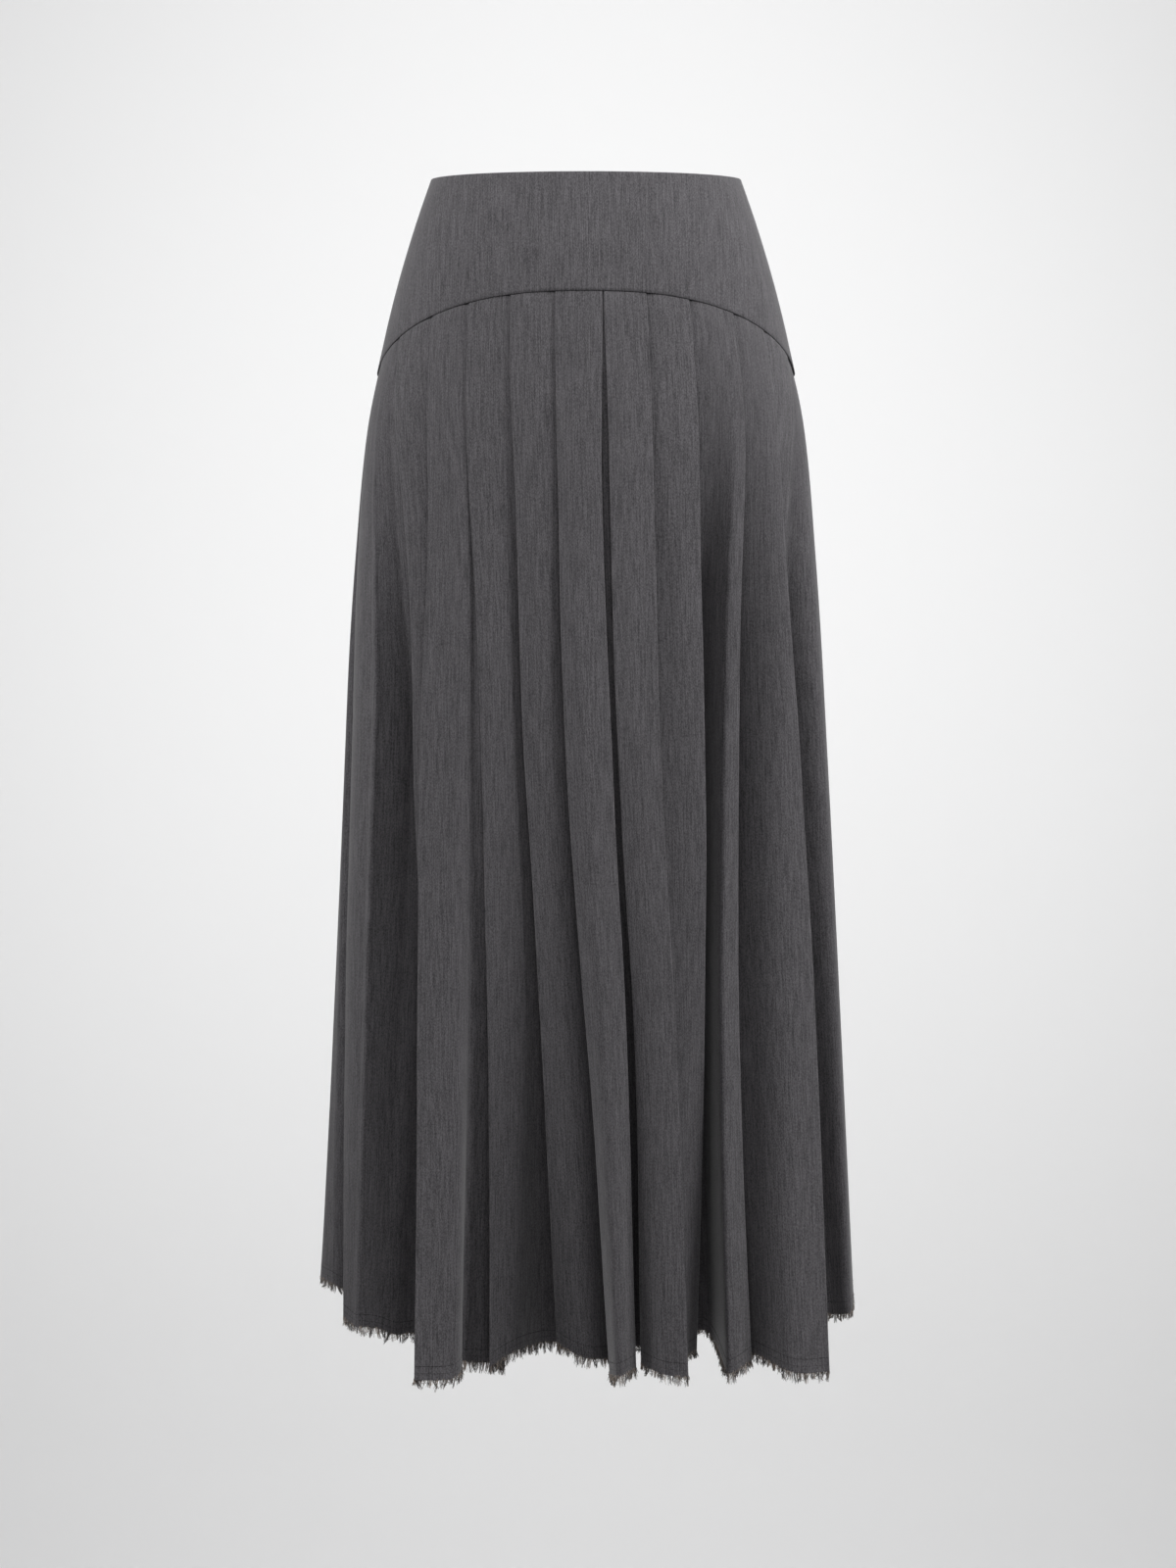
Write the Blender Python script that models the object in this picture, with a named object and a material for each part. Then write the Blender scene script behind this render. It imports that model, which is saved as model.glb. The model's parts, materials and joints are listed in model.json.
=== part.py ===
"""Pleated maxi skirt: a fitted yoke, knife-pleated panels, a frayed hem and a centre-back zip.

The skirt is filled out with nobody in it. Its frame has +Z up, the front towards -Y, and the
origin at the centre of the waist opening. Sizes in the tables are millimetres, and a drop is
how far a level lies below the waist. An angle runs round the body from the centre front:
+90 degrees is the +X side and 180 the centre back.
"""
import math

import bmesh
import bpy
from mathutils import Matrix, Vector

MM = 0.001

# ---- the body that the cloth hangs on: one row for each level ----
# drop, half width, front depth, back depth
BODY_LEVELS = (
    (0, 125, 92, 92),
    (36, 138, 99, 103),
    (82, 152.5, 106, 116),
    (130, 165, 111, 124),
    (200, 180, 117, 131),
    (300, 189.5, 122, 137),
    (450, 200, 130, 145),
    (650, 213, 139, 154),
    (948, 231, 151, 166),
)

# ---- cloth ----
YOKE_THICK = 1.6            # cloth, its turned edge and the seam allowance behind it
PLEAT_THICK = 1.0           # one layer of suiting
SEAM_GAP = 0.3              # between pieces that are sewn together
YOKE_SEAM_GAP = 0.7         # the same at the arched seam, whose two edges are cut in short facets
YOKE_FRONT_DROP = 90.6      # the yoke seam at the centre front and centre back
YOKE_SIDE_FALL = 66.0       # how much lower the seam runs at the sides
YOKE_CURVE = 1.2            # how quickly it falls towards the sides
HEM_DROP = 938.0            # the cloth's raw edge
FRINGE_REACH = 9.7          # loose threads below the raw edge
FOLD_ROOM = 1.8             # between the two layers at a fold, middle to middle
STACK_DEPTH = 8.6           # from the visible layer to the deepest one at the yoke seam
UNDERLAY = 33.0             # cloth folded under each visible edge at the yoke seam
OPENING_RATE = 1.7          # the pleats stay flat near the yoke and open towards the hem
SPREAD = 0.9                # 0 opens the pleats away from the body's axis, 1 straight forwards

# ---- pleats: one row for each fold edge, in order round the skirt ----
# name, way the edge points (-1 to smaller angles, +1 to larger), underlay at the seam,
# angle at the seam and at the three STATIONS below it, then the hem plan: edge x and forward
# distance, and the inner fold's x and forward distance
STATIONS = (0.0, 0.17, 0.41, 0.71, 1.0)
FRONT_FOLDS = (
    ("a", -1, UNDERLAY, -80.0, -80.0, -76.5, -69.0, -203, 69, -178, 45),
    ("b", -1, UNDERLAY, -65.4, -51.9, -43.8, -38.5, -130, 114, -105, 101),
    ("c", -1, UNDERLAY, -49.0, -42.2, -40.9, -37.5, -136, 200, -110, 146),
    ("d", -1, 28.0, -35.4, -29.7, -24.3, -21.1, -78, 160, -68, 118),
    ("e", -1, 27.0, -22.0, -17.4, -14.3, -9.4, -16, 139, -8, 104),
    ("f", -1, 14.0, -8.7, -6.8, -4.6, 0.7, 19, 165, 23, 120),
    ("g", 1, 12.0, 4.5, 3.8, 5.5, 8.6, 40, 178, 32, 138),
    ("centre", -1, 12.0, 5.2, 6.0, 7.1, 10.4, 47, 171, 56, 136),
    ("h", 1, 12.0, 17.4, 16.4, 17.0, 19.2, 81, 198, 76, 163),
    ("i", 1, 26.0, 30.8, 28.8, 28.0, 26.1, 90, 140, 80, 108),
    ("j", 1, 22.0, 46.7, 42.2, 37.7, 31.1, 113.5, 178, 119, 132),
    ("k", 1, 26.0, 60.4, 58.4, 58.2, 57.6, 194, 158, 165, 122),
    ("l", 1, 24.0, 77.0, 61.5, 62.0, 58.0, 190, 108, 165, 80),
)
BACK_RIGHT_FOLDS = (
    ("r5", -1, 27.0, 100.0, 102.5, 106.0, 109.0, 218, -58, 190, -66),
    ("r4", -1, UNDERLAY, 117.0, 118.5, 121.5, 123.5, 196, -104, 166, -94),
    ("r3", -1, UNDERLAY, 133.5, 134.5, 138.0, 140.0, 160, -150, 132, -122),
    ("r2", -1, UNDERLAY, 149.5, 151.5, 152.5, 153.5, 108, -182, 90, -138),
    ("r1", -1, 24.0, 165.5, 166.5, 166.5, 167.5, 52, -192, 42, -148),
)
BACK_LEFT_FOLDS = (
    ("l1", 1, 24.0, 194.5, 194.0, 193.0, 192.0, -50, -186, -40, -146),
    ("l2", 1, UNDERLAY, 210.5, 209.0, 207.5, 206.5, -104, -190, -86, -142),
    ("l3", 1, UNDERLAY, 226.5, 225.0, 222.5, 221.0, -152, -146, -128, -118),
    ("l4", 1, UNDERLAY, 243.0, 241.0, 238.5, 237.0, -190, -112, -162, -94),
    ("l5", 1, 27.0, 260.0, 257.0, 254.0, 251.0, -214, -66, -186, -62),
)
# ---- soft creases inside the panels: where each one reaches at the hem ----
# the fold before it ("start" before the first), share of the panel at the seam, x, forward
FRONT_CREASES = (
    ("start", 0.30, -214, -2),
    ("start", 0.62, -204, 14),
    ("a", 0.30, -173, 81),
    ("a", 0.45, -170, 93),
    ("a", 0.72, -145, 95),
    ("c", 0.18, -111, 198),
    ("c", 0.38, -98, 185),
    ("c", 0.60, -96, 140),
    ("d", 0.42, -57, 144),
    ("d", 0.72, -31, 95),
    ("e", 0.34, -2, 142),
    ("e", 0.67, 11, 139),
    ("f", 0.50, 26, 199),
    ("g", 0.50, 44, 132),
    ("centre", 0.50, 62, 194),
    ("i", 0.25, 97, 97),
    ("i", 0.45, 102, 128),
    ("j", 0.35, 137, 148),
    ("j", 0.70, 164, 184),
    ("l", 0.36, 203, 38),
    ("l", 0.70, 225, 45),
)
BACK_RIGHT_CREASES = (
    ("start", 0.36, 228, -20),
    ("start", 0.68, 218, -40),
    ("r5", 0.34, 212, -72),
    ("r5", 0.67, 194, -82),
    ("r3", 0.34, 144, -164),
    ("r3", 0.67, 122, -156),
    ("r1", 0.50, 26, -184),
)
BACK_LEFT_CREASES = (
    ("start", 0.50, -26, -180),
    ("l2", 0.34, -124, -178),
    ("l2", 0.67, -136, -148),
    ("l4", 0.34, -202, -98),
    ("l4", 0.67, -196, -80),
    ("l5", 0.32, -206, -48),
    ("l5", 0.64, -231, -34),
)
# where the side seams and the centre-back seam meet the hem
LEFT_SEAM_HEM = (-221, -12)
RIGHT_SEAM_HEM = (231, 6)
BACK_SEAM_HEM = (0, -174)
SIDE_SEAM_LEVEL = 1.2       # the side seams lie just under the surface at the yoke
PANEL_ROWS = (0.0, 0.06, 0.13, 0.23, 0.36, 0.50, 0.63, 0.76, 0.88, 1.0)
PLAIN_PANEL_SHARES = (0.34, 0.67)
LONGEST_MITRE = 1.6         # at a sharp fold, in wall thicknesses

# ---- zip at the centre back ----
ZIP_GAP = 1.4               # between the cloth edges over the coil
ZIP_TOP = 3.0
ZIP_FOOT = 182.0
TAPE_WIDTH = 11.0
TAPE_THICK = 0.8
TAPE_INNER_EDGE = 1.0
TAPE_GAP = 0.5              # behind the yoke's inner face
COIL_WIDTH = 4.4
COIL_THICK = 1.8
SLIDER_TOP = 4.5
SLIDER_LENGTH = 10.0
SLIDER_WIDTH = 7.0
SLIDER_THICK = 3.2
NECK_THICK = 0.8
CROWN_WIDTH = 4.0
CROWN_THICK = 1.2
CROWN_CLEAR = 0.6           # the crown's back over the cloth
BAIL_WIDTH = 1.6            # the arch that holds the pull, across the zip
BAIL_WIRE = 0.9
PULL_BAR = 1.0              # the pull's round bar, inside the arch
PULL_LENGTH = 24.0
PULL_WIDTH = 6.0
PULL_THICK = 1.2
PULL_SLOT = 3.0
BAR_INSET = 0.5             # the bar ends inside the plate's sides
PLATE_RISE = 0.4            # the plate's top over the bar's axis
SOFT_EDGE = 0.05            # on the small cut shapes
NECK_SHARE = 0.6            # of the slider's length
CROWN_SHARE = 0.85
SET_IN = 0.3                # how far joined shapes run into each other
RUNNING_GAP = 0.3

CLOTH = (0.085, 0.083, 0.086)
METAL = (0.10, 0.10, 0.105)


def lerp(first, second, share):
    return first + (second - first) * share


def smooth_through(places, values, place):
    """A smooth curve through a few values (cubic, with each slope taken from its neighbours)."""
    last = len(places) - 1
    place = min(max(place, places[0]), places[last])
    index = max(k for k in range(last) if places[k] <= place)
    slopes = []
    for k in (index, index + 1):
        before, after = max(k - 1, 0), min(k + 1, last)
        slopes.append((values[after] - values[before]) / (places[after] - places[before]))
    length = places[index + 1] - places[index]
    t = (place - places[index]) / length
    return ((2 * t**3 - 3 * t**2 + 1) * values[index] + (t**3 - 2 * t**2 + t) * length * slopes[0]
            + (3 * t**2 - 2 * t**3) * values[index + 1] + (t**3 - t**2) * length * slopes[1])


def body_size(drop):
    """Half width, front depth and back depth of the body at a drop."""
    drops = [row[0] for row in BODY_LEVELS]
    return [smooth_through(drops, [row[k] for row in BODY_LEVELS], drop) for k in (1, 2, 3)]


def body_point(angle, drop, reach=1.0):
    """Plan x and y on the body's outline, or outside it where the reach is over 1."""
    width, front, back = body_size(drop)
    turn = math.radians(angle)
    depth = front if math.cos(turn) > 0 else back
    return Vector((width * math.sin(turn), -depth * math.cos(turn))) * reach


def body_normal(angle, drop):
    """The outline's outward direction in plan."""
    width, front, back = body_size(drop)
    turn = math.radians(angle)
    depth = front if math.cos(turn) > 0 else back
    return Vector((math.sin(turn) / width, -math.cos(turn) / depth)).normalized()


def degrees_for(length, angle, drop):
    """The angle that a length of cloth covers round the outline."""
    step = (body_point(angle + 0.5, drop) - body_point(angle - 0.5, drop)).length
    return length / step


def yoke_seam_drop(angle):
    """The seam arches up at the centre front, and again at the centre back."""
    share = 1 - abs(math.cos(math.radians(angle)))
    return YOKE_FRONT_DROP + YOKE_SIDE_FALL * share**YOKE_CURVE


def hem_place(point):
    """Where a hem point (x, forward) belongs on the outline, and how far it has moved off it.

    The way it moved is a straight line in plan, from a spot SPREAD of the way out to its x.
    """
    x, forward = point
    width, front, back = body_size(HEM_DROP)
    depth = front if forward > 0 else back
    start, run = SPREAD * x, x - SPREAD * x
    square = (run / width)**2 + (forward / depth)**2
    linear = 2 * start * run / width**2
    rest = (start / width)**2 - 1
    along = (-linear + math.sqrt(linear**2 - 4 * square * rest)) / (2 * square)
    angle = math.degrees(math.atan2((start + run * along) / width, forward * along / depth))
    if angle < 0 and forward < 0:
        angle += 360
    return angle, Vector((x, -forward)) - body_point(angle, HEM_DROP)


def fold_drift(fold, fraction):
    """How far a fold has turned from the straight way between its seam and hem angles."""
    seam = fold[3]
    hem = hem_place(fold[7:9])[0]
    angles = list(fold[3:7]) + [hem]
    return smooth_through(STATIONS, angles, fraction) - lerp(seam, hem, fraction)


def corner(angle, levels, hem, fold):
    return {"angle": angle, "levels": levels, "hem": Vector(hem), "fold": fold}


def fold_corners(fold):
    """The visible edge and the inner fold under it, in order round the skirt."""
    name, points, underlay, angle = fold[:4]
    seam_drop = yoke_seam_drop(angle)
    inner_angle = angle - points * degrees_for(underlay, angle, seam_drop)
    top = -PLEAT_THICK / 2
    under = top - FOLD_ROOM
    deep = -STACK_DEPTH
    if points < 0:
        return [corner(inner_angle, (deep, deep + FOLD_ROOM), fold[9:11], fold),
                corner(angle, (under, top), fold[7:9], fold)]
    return [corner(angle, (top, under), fold[7:9], fold),
            corner(inner_angle, (deep + FOLD_ROOM, deep), fold[9:11], fold)]


def panel_stations(folds, creases, start, finish):
    """Every upright line of a pleated panel: its place at the seam and its place at the hem."""
    corners = [start]
    owner = ["start"]
    for fold in folds:
        corners += fold_corners(fold)
        owner += [None, fold[0]]
    corners.append(finish)
    owner.append(None)
    stations = []
    for index, here in enumerate(corners):
        is_fold = here["fold"] is not None
        for side, level in enumerate(here["levels"] if is_fold else here["levels"][:1]):
            stations.append({"angle": here["angle"], "level": level, "hem": here["hem"].copy(),
                             "folds": (here["fold"], here["fold"]), "share": 0.0,
                             "edge": (side + 1) if is_fold else 0})
        if index == len(corners) - 1:
            break
        after = corners[index + 1]
        if owner[index] is None:
            inside = [(0.5, None)]
        else:
            inside = [(row[1], row[2:4]) for row in creases if row[0] == owner[index]]
            inside = inside or [(share, None) for share in PLAIN_PANEL_SHARES]
        level = here["levels"][-1]
        for share, hem in inside:
            place = Vector(hem) if hem else here["hem"].lerp(after["hem"], share)
            stations.append({"angle": lerp(here["angle"], after["angle"], share),
                             "level": lerp(level, after["levels"][0], share), "hem": place,
                             "folds": (here["fold"], after["fold"]), "share": share, "edge": 0})
    open_folds_at_hem(stations)
    return stations


def open_folds_at_hem(stations):
    """At the hem the two layers of each fold stand FOLD_ROOM apart as well."""
    for index, here in enumerate(stations):
        if here["edge"] != 1:
            continue
        other = stations[index + 1]
        before = (stations[index - 1]["hem"] - here["hem"]).normalized()
        after = (stations[index + 2]["hem"] - here["hem"]).normalized()
        inward = (before + after).normalized()
        across = Vector((-inward.y, inward.x))
        if across.dot(before) < 0:
            across = -across
        here["hem"] = here["hem"] + across * FOLD_ROOM / 2
        other["hem"] = other["hem"] - across * FOLD_ROOM / 2


def station_point(station, fraction, top_gap, foot_drop):
    """Plan point and drop of one upright line, a fraction of the way down the panel."""
    opened = fraction**OPENING_RATE
    hem_angle, moved = hem_place(station["hem"])
    if hem_angle - station["angle"] > 180:
        hem_angle -= 360
    drift = [fold_drift(fold, fraction) if fold else 0.0 for fold in station["folds"]]
    angle = lerp(station["angle"], hem_angle, fraction) + lerp(drift[0], drift[1],
                                                               station["share"])
    drop = lerp(yoke_seam_drop(station["angle"]) + top_gap, foot_drop, fraction)
    plan = body_point(angle, drop) + moved * opened
    plan += body_normal(angle, drop) * station["level"] * (1 - opened)
    return plan, drop


def both_faces(plans, end_normals):
    """The outer and inner face of a wall whose middle line is given, as pairs of plan points.

    Each end is cut square to its seam, so that the panels on either side of it lie parallel.
    """
    pairs = []
    for index, here in enumerate(plans):
        if index in (0, len(plans) - 1):
            half = end_normals[0 if index == 0 else 1] * PLEAT_THICK / 2
            pairs.append((here + half, here - half))
            continue
        before = (here - plans[index - 1]).normalized()
        after = (plans[index + 1] - here).normalized()
        normals = (Vector((before.y, -before.x)), Vector((after.y, -after.x)))
        offset = (normals[0] + normals[1]) / max(1 + normals[0].dot(normals[1]), 0.3)
        if offset.length > LONGEST_MITRE:
            offset = offset.normalized() * LONGEST_MITRE
        pairs.append((here + offset * PLEAT_THICK / 2, here - offset * PLEAT_THICK / 2))
    return pairs


def wall(name, rows, material):
    """A closed cloth wall from rows of (outer point, inner point), in millimetres."""
    columns = len(rows[0])
    mesh = bpy.data.meshes.new(name)
    sheet = bmesh.new()
    bmesh.ops.create_grid(sheet, x_segments=columns - 1, y_segments=len(rows) - 1, size=1.0)
    place = sheet.verts.layers.int.new("place")
    order = sorted(sheet.verts, key=lambda vert: (round(vert.co.y, 6), round(vert.co.x, 6)))
    for index, vert in enumerate(order):
        vert[place] = index
    bmesh.ops.extrude_face_region(sheet, geom=list(sheet.faces), use_keep_orig=True)
    seen = set()
    for vert in sheet.verts:
        row, column = divmod(vert[place], columns)
        face = 1 if vert[place] in seen else 0
        seen.add(vert[place])
        vert.co = Vector(rows[row][column][face]) * MM
    bmesh.ops.recalc_face_normals(sheet, faces=list(sheet.faces))
    if sheet.calc_volume(signed=True) < 0:
        bmesh.ops.reverse_faces(sheet, faces=list(sheet.faces))
    sheet.to_mesh(mesh)
    sheet.free()
    return add_object(name, mesh, material)


def add_object(name, mesh, material):
    piece = bpy.data.objects.new(name, mesh)
    piece.data.materials.append(material)
    bpy.context.scene.collection.objects.link(piece)
    return piece


def make_material(name, colour, roughness, metallic=0.0):
    material = bpy.data.materials.new(name)
    material.use_nodes = True
    shader = material.node_tree.nodes["Principled BSDF"]
    shader.inputs["Base Color"].default_value = (*colour, 1.0)
    shader.inputs["Roughness"].default_value = roughness
    shader.inputs["Metallic"].default_value = metallic
    return material


# ---- cloth pieces ----
def pleated_rows(stations, fractions, top_gap, foot_drop, end_normals):
    rows = []
    for fraction in fractions:
        placed = [station_point(station, fraction, top_gap, foot_drop) for station in stations]
        pairs = both_faces([plan for plan, _ in placed], end_normals)
        rows.append([[(face.x, face.y, -drop) for face in pair]
                     for pair, (_, drop) in zip(pairs, placed)])
    return rows


def fringe_rows(stations, end_normals):
    """A plain wall that reaches as far as the loose threads under the raw edge."""
    rows = []
    placed = [station_point(station, 1.0, SEAM_GAP, HEM_DROP) for station in stations]
    pairs = both_faces([plan for plan, _ in placed], end_normals)
    for drop in (HEM_DROP + SEAM_GAP, HEM_DROP + SEAM_GAP + FRINGE_REACH):
        rows.append([[(face.x, face.y, -drop) for face in pair] for pair in pairs])
    return rows


def seam_corner(angle, level, hem):
    return corner(angle, (level, level), hem, None)


def make_skirt(material):
    side = -SIDE_SEAM_LEVEL
    surface = -PLEAT_THICK / 2
    half = SEAM_GAP / 2
    zip_half = ZIP_GAP / 2
    zip_turn = degrees_for(zip_half, 180, YOKE_FRONT_DROP)
    side_turn = degrees_for(half, 90, HEM_DROP)
    spans = (
        ("skirt_front", "fringe_front", FRONT_FOLDS, FRONT_CREASES,
         seam_corner(-90 + side_turn, side, (LEFT_SEAM_HEM[0], LEFT_SEAM_HEM[1] + half)),
         seam_corner(90 - side_turn, side, (RIGHT_SEAM_HEM[0], RIGHT_SEAM_HEM[1] + half))),
        ("skirt_back_right", "fringe_back_right", BACK_RIGHT_FOLDS, BACK_RIGHT_CREASES,
         seam_corner(90 + side_turn, side, (RIGHT_SEAM_HEM[0], RIGHT_SEAM_HEM[1] - half)),
         seam_corner(180 - zip_turn, surface, (zip_half, BACK_SEAM_HEM[1]))),
        ("skirt_back_left", "fringe_back_left", BACK_LEFT_FOLDS, BACK_LEFT_CREASES,
         seam_corner(180 + zip_turn, surface, (-zip_half, BACK_SEAM_HEM[1])),
         seam_corner(270 - side_turn, side, (LEFT_SEAM_HEM[0], LEFT_SEAM_HEM[1] - half))),
    )
    for name, fringe_name, folds, creases, start, finish in spans:
        stations = panel_stations(folds, creases, start, finish)
        ends = [body_normal(90 * round(seam["angle"] / 90), 0) for seam in (start, finish)]
        wall(name, pleated_rows(stations, PANEL_ROWS, YOKE_SEAM_GAP, HEM_DROP, ends), material)
        wall(fringe_name, fringe_rows(stations, ends), material)


def yoke_rows(first, last, columns, levels=5):
    """The fitted yoke between two angles, from the waist down to the arched seam."""
    rows = []
    for level in range(levels):
        row = []
        for column in range(columns):
            angle = lerp(first, last, column / (columns - 1))
            drop = lerp(0.0, yoke_seam_drop(angle), level / (levels - 1))
            outer = body_point(angle, drop)
            inner = outer - body_normal(angle, drop) * YOKE_THICK
            row.append([(outer.x, outer.y, -drop), (inner.x, inner.y, -drop)])
        rows.append(row)
    return rows


def make_yoke(material):
    side_turn = degrees_for(SEAM_GAP / 2, 90, 0)
    zip_turn = degrees_for(ZIP_GAP / 2, 180, 0)
    wall("yoke_front", yoke_rows(-90 + side_turn, 90 - side_turn, 31), material)
    wall("yoke_back_right", yoke_rows(90 + side_turn, 180 - zip_turn, 16), material)
    wall("yoke_back_left", yoke_rows(180 + zip_turn, 270 - side_turn, 16), material)


# ---- zip ----
def back_frame(drop, depth):
    """A point under the centre-back surface, and the outward direction there."""
    step = 1.0
    here, lower = body_size(drop)[2], body_size(drop + step)[2]
    along = Vector((0, lower - here, -step)).normalized()
    outward = Vector((0, -along.z, along.y))
    return Vector((0, here, -drop)) - outward * depth, outward, along


def strip(name, left, right, top, foot, outer_depth, thick, material, levels=9):
    """A thin strip that follows the centre-back line under the cloth."""
    rows = []
    for level in range(levels):
        drop = lerp(top, foot, level / (levels - 1))
        outer, outward, _ = back_frame(drop, outer_depth)
        inner = outer - outward * thick
        rows.append([[(x, outer.y, outer.z), (x, inner.y, inner.z)] for x in (right, left)])
    return wall(name, rows, material)


def tape(name, side, depth, material, levels=9, columns=4):
    """Half of the zip's tape, curved like the cloth that it is sewn behind."""
    rows = []
    for level in range(levels):
        drop = lerp(ZIP_TOP, ZIP_FOOT, level / (levels - 1))
        row = []
        for column in range(columns):
            away = TAPE_INNER_EDGE + TAPE_WIDTH * column / (columns - 1)
            angle = 180 + side * degrees_for(away, 180, drop)
            plan, inward = body_point(angle, drop), -body_normal(angle, drop)
            outer, inner = plan + inward * depth, plan + inward * (depth + TAPE_THICK)
            row.append([(outer.x, outer.y, -drop), (inner.x, inner.y, -drop)])
        rows.append(row)
    return wall(name, rows, material)


def block(name, size, bevel, material):
    """A box with softened edges, centred on its object's origin."""
    mesh = bpy.data.meshes.new(name)
    shape = bmesh.new()
    bmesh.ops.create_cube(shape, size=1.0)
    bmesh.ops.scale(shape, vec=Vector(size) * MM, verts=shape.verts)
    bmesh.ops.bevel(shape, geom=list(shape.edges), offset=bevel * MM, segments=1,
                    affect="EDGES")
    shape.to_mesh(mesh)
    shape.free()
    return add_object(name, mesh, material)


def join(target, tool, operation):
    cut = target.modifiers.new(operation.lower(), "BOOLEAN")
    cut.operation = operation
    cut.object = tool
    tool.hide_render = True
    tool.display_type = "WIRE"


def guide_block(name, size, place, frame, material):
    piece = block(name, size, SOFT_EDGE, material)
    piece.location = place * MM
    piece.rotation_euler = frame
    return piece


def make_zip(cloth, metal):
    tape_depth = YOKE_THICK + TAPE_GAP
    coil_depth = tape_depth + TAPE_THICK + RUNNING_GAP
    for side, name in ((-1, "zip_tape_right"), (1, "zip_tape_left")):
        tape(name, side, tape_depth, cloth)
    coil_top = SLIDER_TOP + SLIDER_LENGTH + RUNNING_GAP
    strip("zip_coil", -COIL_WIDTH / 2, COIL_WIDTH / 2, coil_top, ZIP_FOOT - ZIP_TOP,
          coil_depth, COIL_THICK, metal)

    middle_drop = SLIDER_TOP + SLIDER_LENGTH / 2
    surface, outward, along = back_frame(middle_drop, 0.0)
    tilt = math.atan2(along.y, -along.z)
    frame = (tilt, 0.0, 0.0)

    body = block("zip_slider", (SLIDER_WIDTH, SLIDER_THICK, SLIDER_LENGTH), 0.4, metal)
    body.location = (surface - outward * (coil_depth + SLIDER_THICK / 2)) * MM
    body.rotation_euler = frame
    crown_middle = CROWN_CLEAR + CROWN_THICK / 2
    neck_depth = coil_depth + CROWN_CLEAR + 2 * SET_IN
    neck_place = surface + outward * (CROWN_CLEAR + SET_IN - neck_depth / 2)
    neck = guide_block("neck_guide", (NECK_THICK, neck_depth, SLIDER_LENGTH * NECK_SHARE),
                       neck_place, frame, metal)
    crown = guide_block("crown_guide", (CROWN_WIDTH, CROWN_THICK, SLIDER_LENGTH * CROWN_SHARE),
                        surface + outward * crown_middle, frame, metal)
    # the arch on the crown: the pull's bar turns in its window
    window = PULL_BAR + 2 * RUNNING_GAP
    arch_height = window + BAIL_WIRE
    arch_length = window + 2 * BAIL_WIRE
    arch_middle = CROWN_CLEAR + CROWN_THICK + (arch_height - SET_IN) / 2
    arch = guide_block("arch_guide", (BAIL_WIDTH, arch_height + SET_IN, arch_length),
                       surface + outward * arch_middle, frame, metal)
    axis_place = surface + outward * (CROWN_CLEAR + CROWN_THICK + window / 2)
    hole = guide_block("window_guide", (BAIL_WIDTH * 3, window, window), axis_place, frame,
                       metal)
    for tool, operation in ((neck, "UNION"), (crown, "UNION"), (arch, "UNION"),
                            (hole, "DIFFERENCE")):
        join(body, tool, operation)
    make_pull(axis_place, frame, metal)


def make_pull(axis_place, frame, metal):
    """The pull hangs from a round bar in the slider's arch; its origin is on the bar's axis."""
    hinge = bpy.data.objects.new("pull_hinge", None)
    bpy.context.scene.collection.objects.link(hinge)
    hinge.location = axis_place * MM
    hinge.rotation_euler = frame
    mesh = bpy.data.meshes.new("zip_pull")
    shape = bmesh.new()
    bmesh.ops.create_cone(shape, cap_ends=True, segments=16, radius1=PULL_BAR / 2 * MM,
                          radius2=PULL_BAR / 2 * MM,
                          depth=(PULL_WIDTH - 2 * BAR_INSET) * MM)
    bmesh.ops.rotate(shape, verts=shape.verts, matrix=quarter_turn())
    shape.to_mesh(mesh)
    shape.free()
    pull = add_object("zip_pull", mesh, metal)
    pull.parent = hinge
    plate = block("plate_guide", (PULL_WIDTH, PULL_THICK, PULL_LENGTH), PULL_THICK / 5, metal)
    plate.parent = hinge
    plate.location = Vector((0, 0, PLATE_RISE - PULL_LENGTH / 2)) * MM
    slot_top, slot_foot = PULL_BAR, -PULL_BAR / 2 - PULL_SLOT
    slot = block("slot_guide", (PULL_SLOT, PULL_THICK * 3, slot_top - slot_foot), SOFT_EDGE,
                 metal)
    slot.parent = hinge
    slot.location = Vector((0, 0, (slot_top + slot_foot) / 2)) * MM
    join(plate, slot, "DIFFERENCE")
    join(pull, plate, "UNION")
    return pull


def quarter_turn():
    """Turns a bar that was made along Z so that it lies along X."""
    return Matrix.Rotation(math.pi / 2, 3, "Y")


def clear_scene():
    for piece in list(bpy.data.objects):
        bpy.data.objects.remove(piece)


def main():
    clear_scene()
    cloth = make_material("suiting", CLOTH, 0.85)
    metal = make_material("zip_metal", METAL, 0.4, 0.8)
    make_yoke(cloth)
    make_skirt(cloth)
    make_zip(cloth, metal)


if __name__ == "__main__":
    main()
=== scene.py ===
"""The looks of a pleated maxi skirt: melange suiting, pressed pleats, a frayed hem and a zip.

Sizes in the tables are millimetres and a drop is how far a level lies below the waist. An angle
runs round the body from the centre front: +90 degrees is the +X side and 180 the centre back.
"""

import json
import math
from collections import namedtuple

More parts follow.
